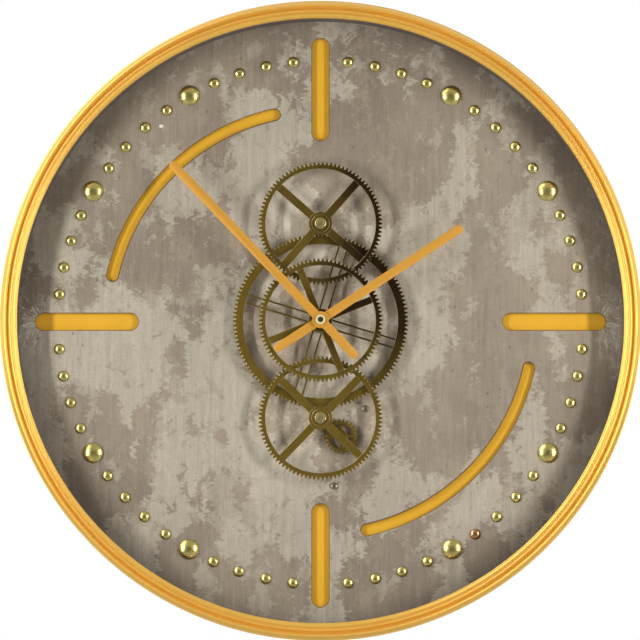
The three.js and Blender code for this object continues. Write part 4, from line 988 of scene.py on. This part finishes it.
class CLOCK_OT_case(ClockOperator):
    """Ribbed rim, inner wall and side wall"""

    bl_idname = "clock.case"
    bl_label = "Rim and walls"

    def execute(self, context):
        self.rim()
        self.well()
        self.side_wall()
        return {"FINISHED"}

    def rim(self):
        case = settings("clock_case")
        outer = outer_radius("bezel_ring")
        skirt = back_of("bezel_ring")
        front = front_of("bezel_ring")
        seat = front_of("well_ring") - PLAY
        opening = outer - case.rim_width
        inner = outer - case.skirt_wall
        # Crests and valleys by turns: how far in from the outer edge, how far behind the front
        crests = [
            (0.0, 4.6 * MM),
            (4.2 * MM, 0.0),
            (case.groove, 3.4 * MM),
            (9.4 * MM, 1.0 * MM),
            (case.second_groove, 1.2 * MM + case.rib_depth),
            (13.1 * MM, 1.3 * MM),
            (14.9 * MM, 2.4 * MM),
        ]
        ribs = waves([(outer - inset, front + depth) for inset, depth in crests], 6)
        rounding = 1.3 * MM
        shoulder = quarter_round(opening + rounding, front + 3.6 * MM, rounding, -math.pi / 2,
                                 -math.pi / 2, 5)
        profile = [(outer, skirt), *ribs, *shoulder, (opening, seat), (inner, seat), (inner, skirt)]
        rim = turned("rim", profile, steps=case.round_steps)
        smooth(rim, 40)
        dress(rim, "clock_body", "bezel_ring", "rim")

    def well(self):
        case = settings("clock_case")
        outer = outer_radius("well_ring")
        inner = outer - case.wall
        back = back_of("well_ring")
        front = front_of("well_ring")
        profile = [(inner, back), (outer, back), (outer, front), (inner, front)]
        wall = turned("well_wall", profile, steps=case.round_steps)
        smooth(wall, 40)
        dress(wall, "clock_body", "well_ring", "well")

    def side_wall(self):
        case = settings("clock_case")
        outer = outer_radius("side_band")
        inner = outer - case.wall
        front = front_of("side_band")
        curl = case.lip_radius
        lip = outer - case.lip + curl
        profile = [
            (lip, 0.0),
            *quarter_round(outer - curl, -curl, curl, math.pi / 2, -math.pi / 2),
            (outer, front), (inner, front), (inner, -case.lip_depth),
            *quarter_round(lip, curl - case.lip_depth, curl, -math.pi / 2, -math.pi / 2),
            *quarter_round(lip, -curl, curl, math.pi, -math.pi / 2),
        ]
        band = turned("side_wall", profile, steps=case.round_steps)
        smooth(band, 40)
        dress(band, "clock_body", "side_band", "rim")


class CLOCK_OT_dial(ClockOperator):
    """Dial with its cut-outs, and the gold plate behind it"""

    bl_idname = "clock.dial"
    bl_label = "Dial"

    def execute(self, context):
        dial = settings("clock_dial")
        back = back_of("dial_plate")
        front = front_of("dial_plate")
        play = 0.2 * MM
        face = disc("dial_face", outer_radius("dial_plate") - play, back, front, sides=256)
        cut_back = back + MM
        cut_front = front - MM
        for quarter in range(4):
            cutter = round_bar("cutter", dial.slot_inner, dial.slot_outer, dial.slot_width,
                               quarter * math.pi / 2, cut_back, cut_front)
            join_shape(face, cutter, "DIFFERENCE")
        for middle in (0.75 * math.pi, -0.25 * math.pi):
            for cutter in self.curved_cutters(middle, cut_back, cut_front):
                join_shape(face, cutter, "DIFFERENCE")
        holes = {"movement_neck": 5.3 * MM, "top_bearing": 4.5 * MM, "bottom_bearing": 4.5 * MM,
                 "motor_shaft": 3.1 * MM}
        for node, radius in holes.items():
            centre = centre_of(node)
            drill = disc("drill", radius, cut_back, cut_front, (centre.x, centre.z), 48)
            join_shape(face, drill, "DIFFERENCE")
        painted(face, "dial", "dark_edge")
        soften(face, dial.edge, 2, 60, edge_slot=1)
        smooth(face, 30)
        dress(face, "clock_body", "dial_plate")
        plate = from_node("gold_plate", "backing_plate", 0.0)
        dress(plate, "clock_body", "backing_plate", "plate")
        return {"FINISHED"}

    def curved_cutters(self, middle, back, front):
        """A curved bar and its two round ends, about the axis."""
        dial = settings("clock_dial")
        sides = 48
        last = arc_reach(dial)
        cutters = [self.sector(back, front, middle - last, 2 * last, sides)]
        for turn in (middle - last, middle + last):
            place = (dial.arc_radius * math.cos(turn), dial.arc_radius * math.sin(turn))
            cutters.append(disc("end", dial.arc_width / 2, back, front, place, sides))
        return cutters

    def sector(self, back, front, start, sweep, steps):
        """A part turn of a curved slot's section about the clock's axis, closed at both ends."""
        dial = settings("clock_dial")
        clear_selection()
        bpy.ops.mesh.primitive_plane_add(size=1, location=(dial.arc_radius, (back + front) / 2, 0))
        piece = bpy.context.object
        piece.scale = (dial.arc_width, back - front, 1)
        apply_place(piece)
        bpy.ops.object.mode_set(mode="EDIT")
        bpy.ops.mesh.select_all(action="SELECT")
        bpy.ops.mesh.spin(steps=steps, angle=sweep, center=(0, 0, 0), axis=(0, 1, 0))
        bpy.ops.mesh.select_all(action="SELECT")
        bpy.ops.mesh.remove_doubles(threshold=1e-7)
        bpy.ops.mesh.normals_make_consistent(inside=False)
        bpy.ops.object.mode_set(mode="OBJECT")
        piece.rotation_euler = (0, -start, 0)
        apply_place(piece)
        return piece


COPPERY_MINUTE = 24


class CLOCK_OT_nails(ClockOperator):
    """Domed brass nails that mark the hours and minutes"""

    bl_idname = "clock.nails"
    bl_label = "Nails"

    def execute(self, context):
        dial = settings("clock_dial")
        lean = random.Random(5)
        seat = front_of("dial_plate")
        hours = [name for name in NODES if name.startswith("hour_stud_")]
        shank = back_of(hours[0]) - seat
        large = self.nail("large_nail", outer_radius(hours[0]), shank, seat - front_of(hours[0]), 48)
        for node in hours:
            middle = centre_of(node)
            piece = self.stood(large, node.replace("stud", "nail"), middle.x, middle.z, seat, lean)
            smooth(piece, 40)
            dress(piece, "clock_body", node, "nail")
        bpy.data.objects.remove(large)

        quarters = [name for name in NODES if name.startswith("minute_studs_")]
        small = self.nail("small_nail", dial.small_nail, shank, seat - front_of(quarters[0]), 28)
        for node in quarters:
            low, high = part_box(node)
            nails = []
            for minute in range(60):
                turn = math.pi / 2 - minute * math.tau / 60
                x = dial.nail_circle * math.cos(turn)
                z = dial.nail_circle * math.sin(turn)
                if minute % 5 and low.x < x < high.x and low.z < z < high.z:
                    nail = self.stood(small, "nail", x, z, seat, lean)
                    painted(nail, "coppery" if minute == COPPERY_MINUTE else "nail")
                    nails.append(nail)
            piece = merged(node.replace("studs", "nails"), nails)
            smooth(piece, 40)
            dress(piece, "clock_body", node)
        bpy.data.objects.remove(small)
        return {"FINISHED"}

    def nail(self, name, radius, back, height, steps):
        """A domed head with a rolled edge, over a shank into the board. The seat is at depth 0."""
        shank = min(radius * 0.3, 1.3 * MM)
        under = -PLAY
        brim = under - 0.12 * height
        rise = height + brim
        ball = (radius ** 2 + rise ** 2) / (2 * rise)
        widest = math.asin(radius / ball)
        rings = 9
        angles = [widest * (1 - i / rings) for i in range(rings)]
        dome = [(ball * math.sin(a), -height + ball * (1 - math.cos(a))) for a in angles]
        profile = [(0.0, back), (shank, back), (shank, under), (radius * 0.96, under),
                   (radius, (under + brim) / 2), *dome, (0.0, -height)]
        return turned(name, profile, steps=steps)

    def stood(self, nail, name, x, z, seat, lean):
        """A copy of a nail at its place, leaning a little."""
        tilt = settings("clock_dial").nail_tilt
        piece = copied(nail, name)
        piece.rotation_euler = (lean.uniform(-tilt, tilt), lean.uniform(0, math.tau),
                                lean.uniform(-tilt, tilt))
        piece.location = (x, seat, z)
        apply_place(piece)
        return piece


class CLOCK_OT_wheels(ClockOperator):
    """Spoked gear wheels with bright edges, worn and with a painted highlight"""

    bl_idname = "clock.wheels"
    bl_label = "Gear wheels"

    def execute(self, context):
        train = settings("clock_train")
        half = train.bar_spread / 2
        self.spoked("centre_gear", "centre_wheel", "centre_train", train.wheel_teeth,
                    train.ring_band, [(22.0, 0.0), (112.0, 0.0)], train.centre_spoke_width,
                    hub=11.0 * MM, bore=7.0 * MM)
        for name, spoke in (("top", 48.5), ("bottom", 46.0)):
            self.spoked(f"{name}_gear", f"{name}_wheel", f"{name}_train", train.wheel_teeth,
                        train.ring_band, [(spoke, 0.0), (spoke + 90.0, 0.0)], train.spoke_width,
                        hub=8.4 * MM, bore=5.6 * MM, flare=11.0 * MM)
        self.spoked("big_gear", "big_wheel", "centre_train", train.big_teeth, train.big_ring_band,
                    [(73.0, half), (73.0, -half), (163.0, half), (163.0, -half)],
                    train.bar_width, hub=11.0 * MM, bore=9.0 * MM)
        self.spoked("motor_drive_gear", "motor_gear", "motor_train", train.motor_teeth,
                    train.motor_ring_band, [(0.0, 0.0), (90.0, 0.0)], train.motor_spoke_width,
                    hub=6.0 * MM, bore=2.8 * MM, phase=turn_of("motor_gear"), thick=2.2 * MM,
                    edge=0.7 * train.edge)
        return {"FINISHED"}

    def spoked(self, name, node, body, teeth, band, spokes, spoke_width, hub, bore, flare=0.0,
               phase=0.0, thick=2.0 * MM, edge=None):
        """A toothed ring with spokes through its middle, each with its degrees and its offset."""
        centre = centre_of(node)
        place = (centre.x, centre.z)
        back = back_of(node)
        front = back - thick
        wheel = toothed(name, teeth, phase, back, front, place)
        opening = root_radius(teeth) - band
        window = disc("window", opening, back + MM, front - MM, place, 192)
        join_shape(wheel, window, "DIFFERENCE")
        for degrees, offset in spokes:
            turn = math.radians(degrees)
            spot = (centre.x - offset * math.sin(turn), (back + front) / 2,
                    centre.z + offset * math.cos(turn))
            size = (2 * opening + 2 * MM, thick * 0.999, spoke_width)
            join_shape(wheel, bar("spoke", size, spot, turn), "UNION")
        if flare:
            join_shape(wheel, disc("flare", flare, back, front - HAIR, place), "UNION")
        boss_front = min(front_of(node), front - 2 * HAIR)
        join_shape(wheel, disc("boss", hub, back + HAIR, boss_front, place), "UNION")
        drill = disc("bore", bore, back + MM, front_of(node) - MM, place, 64)
        join_shape(wheel, drill, "DIFFERENCE")
        # The bevels get a lighter colour: wear, and a painted highlight along the wheels' edges
        painted(wheel, "bronze", "edge")
        soften(wheel, edge or settings("clock_train").edge, 1, 40, edge_slot=1)
        smooth(wheel, 28)
        dress(wheel, body, node)


class CLOCK_OT_arbors(ClockOperator):
    """Turned arbors, hubs, nuts and screws of the works on the dial"""

    bl_idname = "clock.arbors"
    bl_label = "Arbors and hubs"

    def execute(self, context):
        for name in ("top", "bottom"):
            self.arbor(name)
            self.bearing(name)
        self.hub()
        self.neck_pieces()
        for node in ("motor_screw_upper", "motor_screw_lower"):
            self.screw(node)
        return {"FINISHED"}

    def arbor(self, name):
        """A shaft with a pinion behind the wheel and a grooved nose before it."""
        node = f"{name}_arbor"
        low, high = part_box(node)
        centre = centre_of(node)
        place = (centre.x, centre.z)
        wheel_back = back_of(f"{name}_wheel") + PLAY
        pinion_back = front_of(f"{name}_bearing") - PLAY
        pinion_front = front_of("big_wheel") - 0.8 * MM
        shaft = 2.5 * MM
        collar = 7.0 * MM
        nose = 5.3 * MM
        rounding = 0.7 * MM
        groove = 3.1 * MM
        groove_half = 0.3 * MM
        groove_depth = 0.25 * MM
        edge = quarter_round(nose - rounding, low.y + rounding, rounding, 0, -math.pi / 2, 4)
        profile = [
            (0.0, high.y), (shaft, high.y), (shaft, pinion_back), (collar, pinion_back),
            (collar, wheel_back), (nose, wheel_back), *edge, (groove + groove_half, low.y),
            (groove, low.y + groove_depth), (groove - groove_half, low.y), (0.0, low.y),
        ]
        piece = turned(f"{name}_shaft", profile, place, 64)
        teeth = settings("clock_train").pinion_teeth
        pinion = toothed("pinion", teeth, turn_of(node), pinion_back, pinion_front, place, slim=0.25)
        join_shape(piece, pinion, "UNION")
        smooth(piece, 30)
        dress(piece, f"{name}_train", node, "brass")

    def bearing(self, name):
        """A flanged bush in the dial."""
        node = f"{name}_bearing"
        low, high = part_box(node)
        centre = centre_of(node)
        bore = 2.8 * MM
        wall = 4.2 * MM
        flange = 7.0 * MM
        chamfer = 0.2 * MM
        seat = front_of("dial_plate") - PLAY
        profile = [
            (bore, high.y), (wall, high.y), (wall, seat), (flange, seat),
            (flange, low.y + chamfer), (flange - chamfer, low.y), (bore, low.y),
        ]
        piece = turned(f"{name}_bush", profile, (centre.x, centre.z), 48)
        smooth(piece, 30)
        dress(piece, "clock_body", node, "brass")

    def hub(self):
        """Carries the big wheel and the centre wheel, with a waist between them."""
        back = back_of("centre_hub")
        front = front_of("centre_hub")
        big_back = back_of("big_wheel") + PLAY
        big_front = front_of("big_wheel") - PLAY
        seat = back_of("centre_wheel") + PLAY
        bore = 5.4 * MM
        foot = 11.0 * MM
        big_seat = 8.7 * MM
        collar = 7.6 * MM
        waist = 7.2 * MM
        nose = 6.7 * MM
        chamfer = 0.4 * MM
        fine = 0.2 * MM
        profile = [
            (bore, back), (foot - chamfer, back), (foot, back - chamfer), (foot, big_back),
            (big_seat, big_back), (big_seat, big_front), (collar, big_front - chamfer),
            (waist, (big_front + seat) / 2), (collar, seat + chamfer), (collar, seat),
            (nose, seat), (nose, front + fine), (nose - fine, front), (bore, front),
        ]
        piece = turned("train_hub", profile, steps=64)
        smooth(piece, 30)
        dress(piece, "centre_train", "centre_hub", "bronze")

    def neck_pieces(self):
        washer = turned("dial_washer", self.washer(10.0 * MM, 5.3 * MM, 0.2 * MM), steps=48)
        smooth(washer, 30)
        dress(washer, "clock_body", "neck_washer", "steel")
        nut = from_node("dial_nut", "neck_nut", 0.25 * MM)
        dress(nut, "clock_body", "neck_nut", "brass")
        neck = turned("threaded_neck", self.threads(), steps=40)
        smooth(neck, 30)
        dress(neck, "clock_body", "movement_neck", "brass")
        for name, node, body, slot in (("hour_sleeve", "hour_tube", "hour_group", "brass"),
                                       ("minute_spindle", "minute_arbor", "minute_group", "steel"),
                                       ("motor_spindle", "motor_shaft", "motor_train", "steel")):
            piece = from_node(name, node, 0.12 * MM, 1)
            dress(piece, body, node, slot)

    def washer(self, outer, inner, chamfer):
        low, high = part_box("neck_washer")
        return [(inner, high.y), (outer - chamfer, high.y), (outer, high.y - chamfer),
                (outer, low.y + chamfer), (outer - chamfer, low.y), (inner, low.y)]

    def threads(self):
        """The neck has a flange in the movement and is threaded from the dial to its end."""
        low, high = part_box("movement_neck")
        bore = 3.6 * MM
        flange = 8.0 * MM
        flange_front = high.y - 1.2 * MM
        crest = 5.0 * MM
        valley = 4.6 * MM
        pitch = 0.75 * MM
        end = low.y + 0.3 * MM
        depth = front_of("dial_plate")
        profile = [(bore, high.y), (flange, high.y), (flange, flange_front), (crest, flange_front),
                   (crest, depth)]
        while depth - pitch > end:
            profile += [(valley, depth - pitch / 2), (crest, depth - pitch)]
            depth -= pitch
        return profile + [(4.7 * MM, low.y), (bore, low.y)]

    def screw(self, node):
        """A domed screw with a straight slot."""
        low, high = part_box(node)
        centre = centre_of(node)
        seat = front_of("dial_plate") - PLAY
        shank = 1.5 * MM
        brim = 0.3 * MM
        head = outer_radius(node)
        rise = seat - low.y - brim
        angles = [i / 8 * math.pi / 2 for i in range(8)]
        dome = [(head * math.cos(a), seat - brim - rise * math.sin(a)) for a in angles]
        profile = [(0.0, high.y), (shank, high.y), (shank, seat), (head, seat), *dome, (0.0, low.y)]
        piece = turned(node.replace("motor_screw", "dome_screw"), profile, (centre.x, centre.z), 40)
        size = (3 * head, 0.9 * MM, 0.7 * MM)
        slot = bar("slot", size, (centre.x, low.y, centre.z), math.radians(35))
        join_shape(piece, slot, "DIFFERENCE")
        smooth(piece, 35)
        dress(piece, "clock_body", node, "dull")


class CLOCK_OT_hands(ClockOperator):
    """Hour hand, minute hand and the nut that holds them"""

    bl_idname = "clock.hands"
    bl_label = "Hands"

    def execute(self, context):
        hand = settings("clock_hands")
        self.hand("hour_pointer", "hour_hand", "hour_group", hand.hour_length, hand.hour_tail,
                  hand.hour_angle, 3.6 * MM)
        self.hand("minute_pointer", "minute_hand", "minute_group", hand.minute_length, hand.minute_tail,
                  hand.minute_angle, 2.1 * MM)
        self.nut()
        return {"FINISHED"}

    def hand(self, name, node, body, reach, tail, turn, bore):
        hand = settings("clock_hands")
        back = back_of(node)
        front = front_of(node)
        piece = round_bar(name, -tail, reach, hand.width, turn, back, front, 64)
        join_shape(piece, disc("boss", hand.boss, back, front, sides=96), "UNION")
        join_shape(piece, disc("bore", bore, back + MM, front - MM, sides=48), "DIFFERENCE")
        soften(piece, hand.edge, 2, 45)
        smooth(piece, 30)
        dress(piece, body, node, "hand")

    def nut(self):
        """A cream ring round a small green stone."""
        low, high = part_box("hand_nut")
        outer = outer_radius("hand_nut")
        bore = 2.1 * MM
        dish = 2.7 * MM
        rounding = 0.6 * MM
        edge = quarter_round(outer - rounding, low.y + rounding, rounding, 0, -math.pi / 2, 5)
        profile = [
            (bore, high.y), (outer, high.y), *edge, (dish + 0.5 * MM, low.y),
            (dish, low.y + 0.35 * MM), (bore, low.y + 0.9 * MM),
        ]
        ring = turned("centre_nut", profile, steps=64)
        smooth(ring, 30)
        dress(ring, "minute_group", "hand_nut", "ivory")
        stone = 2.5 * MM
        rounding = 0.14 * MM
        front = low.y + 0.1 * MM
        back = low.y + 0.28 * MM
        crown = quarter_round(stone - rounding, front + rounding, rounding, 0, -math.pi / 2, 4)
        piece = turned("centre_stone", [(0.0, back), (stone, back), *crown, (0.0, front)], steps=40)
        smooth(piece, 40)
        dress(piece, "minute_group", finish="green")


# Moulded and pressed pieces behind the dial: name, node, body, finish and softened edge
BACK_PIECES = [
    ("rear_board", "back_board", "clock_body", "board", 0.3 * MM),
    ("hanger", "hanger_plate", "clock_body", "steel", 0.2 * MM),
    ("movement_shell", "movement_case", "clock_body", "plastic", 0.5 * MM),
    ("movement_lid", "movement_cover", "clock_body", "plastic", 0.4 * MM),
    ("motor_shell", "motor_housing", "clock_body", "plastic", 0.4 * MM),
    ("motor_lid", "motor_cover", "clock_body", "plastic", 0.3 * MM),
    ("gear_motor_shell", "gear_motor", "clock_body", "steel", 0.5 * MM),
    ("switch_shell", "switch_body", "clock_body", "plastic", 0.3 * MM),
    ("switch_button", "switch_slider", "slider", "ivory", 0.3 * MM),
    ("time_knob", "set_knob", "knob", "ivory", 0.3 * MM),
]


class CLOCK_OT_back(ClockOperator):
    """Rear board, movement, motor box, cells, hanger and screws"""

    bl_idname = "clock.back"
    bl_label = "Back"

    def execute(self, context):
        for name, node, body, slot, edge in BACK_PIECES:
            piece = from_node(name, node, edge)
            dress(piece, body, node, slot)
        self.door()
        for node in ("movement_battery", "motor_battery_upper", "motor_battery_lower"):
            self.cell(node)
        for i in (1, 2, 3):
            self.screw(f"back_screw_{i}", f"board_screw_{i}", 1.5 * MM)
            piece = from_node(f"spacer_{i}", f"standoff_{i}", 0.2 * MM, 1)
            dress(piece, "clock_body", f"standoff_{i}", "steel")
        for side in ("left", "right"):
            self.screw(f"hanger_screw_{side}", f"hanger_bolt_{side}", 0.9 * MM)
        return {"FINISHED"}

    def door(self):
        """The battery door has a ribbed finger grip."""
        low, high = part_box("battery_door")
        door = from_node("cell_door", "battery_door", 0.35 * MM)
        middle = (low.x + high.x) / 2
        size = (18 * MM, 0.8 * MM, 0.9 * MM)
        sunk = 0.3 * MM
        first = 5 * MM
        step = 2.2 * MM
        for i in range(4):
            rib = bar("rib", size, (middle, high.y - sunk, low.z + first + step * i))
            soften(rib, 0.2 * MM, 2, 40)
            door = merged("cell_door", [door, rib])
        painted(door, "plastic")
        smooth(door, 38)
        flat_faces(door)
        dress(door, "door", "battery_door")

    def cell(self, node):
        """A round cell with a sleeve, bare ends and a nub."""
        low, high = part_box(node)
        centre = centre_of(node)
        radius = (high.z - low.z) / 2
        reach = high.x - low.x
        nub = 2.75 * MM
        body = reach - 1.2 * MM
        chamfer = 0.6 * MM
        fine = 0.2 * MM
        rounding = 0.5 * MM
        edge = quarter_round(radius - rounding, body - rounding, rounding, 0, math.pi / 2, 4)
        profile = [
            (0.0, 0.0), (radius - chamfer, 0.0), (radius, chamfer), (radius, 1.0 * MM), *edge,
            (nub + chamfer, body - fine), (nub, body), (nub, reach - fine), (nub - fine, reach),
            (0.0, reach),
        ]
        piece = turned(node.replace("battery", "cell"), profile, steps=48)
        painted(piece, "sleeve", "steel")
        bare = radius - 0.9 * MM
        for face in piece.data.polygons:
            face.material_index = 1 if math.hypot(face.center.x, face.center.z) < bare else 0
        piece.rotation_euler = (0, 0, -math.pi / 2)
        piece.location = (low.x, centre.y, centre.z)
        smooth(piece, 35)
        dress(piece, "clock_body", node)

    def screw(self, node, name, height):
        """A pan-head screw with a cross recess, its head towards the wall."""
        low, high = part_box(node)
        centre = centre_of(node)
        head = outer_radius(node)
        under = high.y - height
        shank = 1.5 * MM
        brim = 0.4 * height
        parts = [i / 5 for i in range(6)]
        dome = [(head * (1 - 0.35 * part ** 2),
                 under + brim + (height - brim) * math.sin(part * math.pi / 2)) for part in parts]
        profile = [(0.0, low.y), (shank * 0.5, low.y), (shank, low.y + 1.2 * MM), (shank, under),
                   (head, under), *dome, (0.0, high.y)]
        piece = turned(name, profile, (centre.x, centre.z), 32)
        size = (head * 1.1, 1.0 * MM, 0.8 * MM)
        for turn in (45, 135):
            cut = bar("cut", size, (centre.x, high.y, centre.z), math.radians(turn))
            join_shape(piece, cut, "DIFFERENCE")
        smooth(piece, 35)
        dress(piece, "clock_body", node, "steel")


class CLOCK_OT_stage(ClockOperator):
    """Camera, lamps, room and floor"""

    bl_idname = "clock.stage"
    bl_label = "Stage"

    def execute(self, context):
        stage = settings("clock_stage")
        scene = context.scene
        scene.view_settings.view_transform = "Standard"
        self.camera(scene, stage)
        self.lamps(stage)
        self.room(scene, stage)
        self.floor(stage)
        return {"FINISHED"}

    def camera(self, scene, stage):
        """Looks at the middle of the rim from a little below."""
        aim = Vector((-0.5 * MM, front_of("bezel_ring") + 4 * MM, -0.6 * MM))
        away = Vector((0, -math.cos(stage.elevation), math.sin(stage.elevation))) * stage.distance
        clear_selection()
        bpy.ops.object.camera_add(location=aim + away)
        camera = bpy.context.object
        camera.rotation_euler = (-away).to_track_quat("-Z", "Y").to_euler()
        camera.data.lens = stage.lens
        camera.data.sensor_width = 36
        camera.data.clip_end = 50
        scene.camera = camera

    def lamps(self, stage):
        """A tall narrow softbox on each side, aimed at the middle."""
        for side in (-1, 1):
            spot = Vector((side * stage.lamp_side, -stage.lamp_front, stage.lamp_rise))
            clear_selection()
            bpy.ops.object.light_add(type="AREA", location=spot)
            lamp = bpy.context.object
            lamp.data.shape = "RECTANGLE"
            lamp.data.size = stage.lamp_width
            lamp.data.size_y = stage.lamp_height
            lamp.data.energy = stage.lamp_power
            lamp.rotation_euler = (-spot).to_track_quat("-Z", "Y").to_euler()

    def room(self, scene, stage):
        """White behind the clock for the camera, and a softly lit room before it."""
        world = bpy.data.worlds.new("Room")
        scene.world = world
        world.use_nodes = True
        tree = world.node_tree
        tree.nodes.clear()
        way = add(tree, "ShaderNodeTexCoord").outputs["Generated"]
        parts = axes(tree, way)
        path = add(tree, "ShaderNodeLightPath").outputs
        level = maths(tree, "MULTIPLY_ADD", path["Is Glossy Ray"],
                      stage.room_shine - stage.room_light, stage.room_light)
        tone = self.room_tone(tree, way, parts)
        room = add(tree, "ShaderNodeBackground", {"Color": tone, "Strength": level})
        white = add(tree, "ShaderNodeBackground", {"Color": (1, 1, 1, 1), "Strength": 1.0})
        seen = maths(tree, "MAXIMUM", path["Is Camera Ray"], path["Is Transmission Ray"])
        behind = times(tree, path["Is Glossy Ray"], ramp(tree, parts["Y"], 0.0, 0.3))
        blend = add(tree, "ShaderNodeMixShader", {
            0: maths(tree, "MAXIMUM", seen, behind), 1: room.outputs[0], 2: white.outputs[0],
        })
        output = tree.nodes.new("ShaderNodeOutputWorld")
        tree.links.new(blend.outputs[0], output.inputs["Surface"])

    def room_tone(self, tree, way, parts):
        """Bright below, dark straight before the dial, and a window high on the left."""
        below = ramp(tree, parts["Z"], -0.1, -0.6)
        tone = mixed(tree, below, (0.64, 0.62, 0.58), (1.7, 1.7, 1.7))
        ahead = ramp(tree, parts["Y"], -0.80, -0.97)
        tone = mixed(tree, ahead, tone, (0.22, 0.21, 0.19))
        window = vectors(tree, "DOT_PRODUCT", way, (-0.69, -0.21, 0.69), "Value")
        return mixed(tree, ramp(tree, window, 0.86, 0.97), tone, (3.4, 3.4, 3.4))

    def floor(self, stage):
        """The camera sees the floor paler, with its shadows. No more light falls on the clock."""
        clear_selection()
        bpy.ops.mesh.primitive_plane_add(size=12, location=(0, 0, stage.floor))
        floor = bpy.context.object
        floor.name = "floor"
        apply_place(floor)
        made, tree, shader, place = new_material("Pale floor", 0.0, 0.8)
        tone = toned(tree, place, (0.8, 0.8, 0.79), (0.74, 0.74, 0.73), 2.0, 90.0, 0.5)
        tree.links.new(tone, shader.inputs["Base Color"])
        seen = add(tree, "ShaderNodeLightPath").outputs["Is Camera Ray"]
        shader.inputs["Emission Color"].default_value = (1, 1, 0.98, 1)
        tree.links.new(times(tree, seen, stage.floor_lift), shader.inputs["Emission Strength"])
        floor.data.materials.append(made)


STEPS = [CLOCK_OT_stage, CLOCK_OT_case, CLOCK_OT_dial, CLOCK_OT_nails, CLOCK_OT_wheels,
         CLOCK_OT_arbors, CLOCK_OT_hands, CLOCK_OT_back]
GROUPS = {
    "clock_case": ClockCaseSettings,
    "clock_dial": ClockDialSettings,
    "clock_train": ClockTrainSettings,
    "clock_hands": ClockHandSettings,
    "clock_finish": ClockFinishSettings,
    "clock_stage": ClockStageSettings,
}


class CLOCK_PT_panel(bpy.types.Panel):
    """Lists the steps that build the clock"""

    bl_idname = "CLOCK_PT_panel"
    bl_label = "Gear clock"
    bl_space_type = "VIEW_3D"
    bl_region_type = "UI"
    bl_category = "Gear clock"

    def draw(self, context):
        for step in STEPS:
            self.layout.operator(step.bl_idname)


def register():
    for name, kind in GROUPS.items():
        bpy.utils.register_class(kind)
        setattr(bpy.types.Scene, name, PointerProperty(type=kind))
    for step in STEPS:
        bpy.utils.register_class(step)
    bpy.utils.register_class(CLOCK_PT_panel)


def unregister():
    bpy.utils.unregister_class(CLOCK_PT_panel)
    for step in reversed(STEPS):
        bpy.utils.unregister_class(step)
    for name, kind in reversed(GROUPS.items()):
        delattr(bpy.types.Scene, name)
        bpy.utils.unregister_class(kind)


def main():
    register()
    clear_selection()
    bpy.ops.clock.stage()
    bpy.ops.clock.case()
    bpy.ops.clock.dial()
    bpy.ops.clock.nails()
    bpy.ops.clock.wheels()
    bpy.ops.clock.arbors()
    bpy.ops.clock.hands()
    bpy.ops.clock.back()
    clear_selection()


if __name__ == "__main__":
    main()
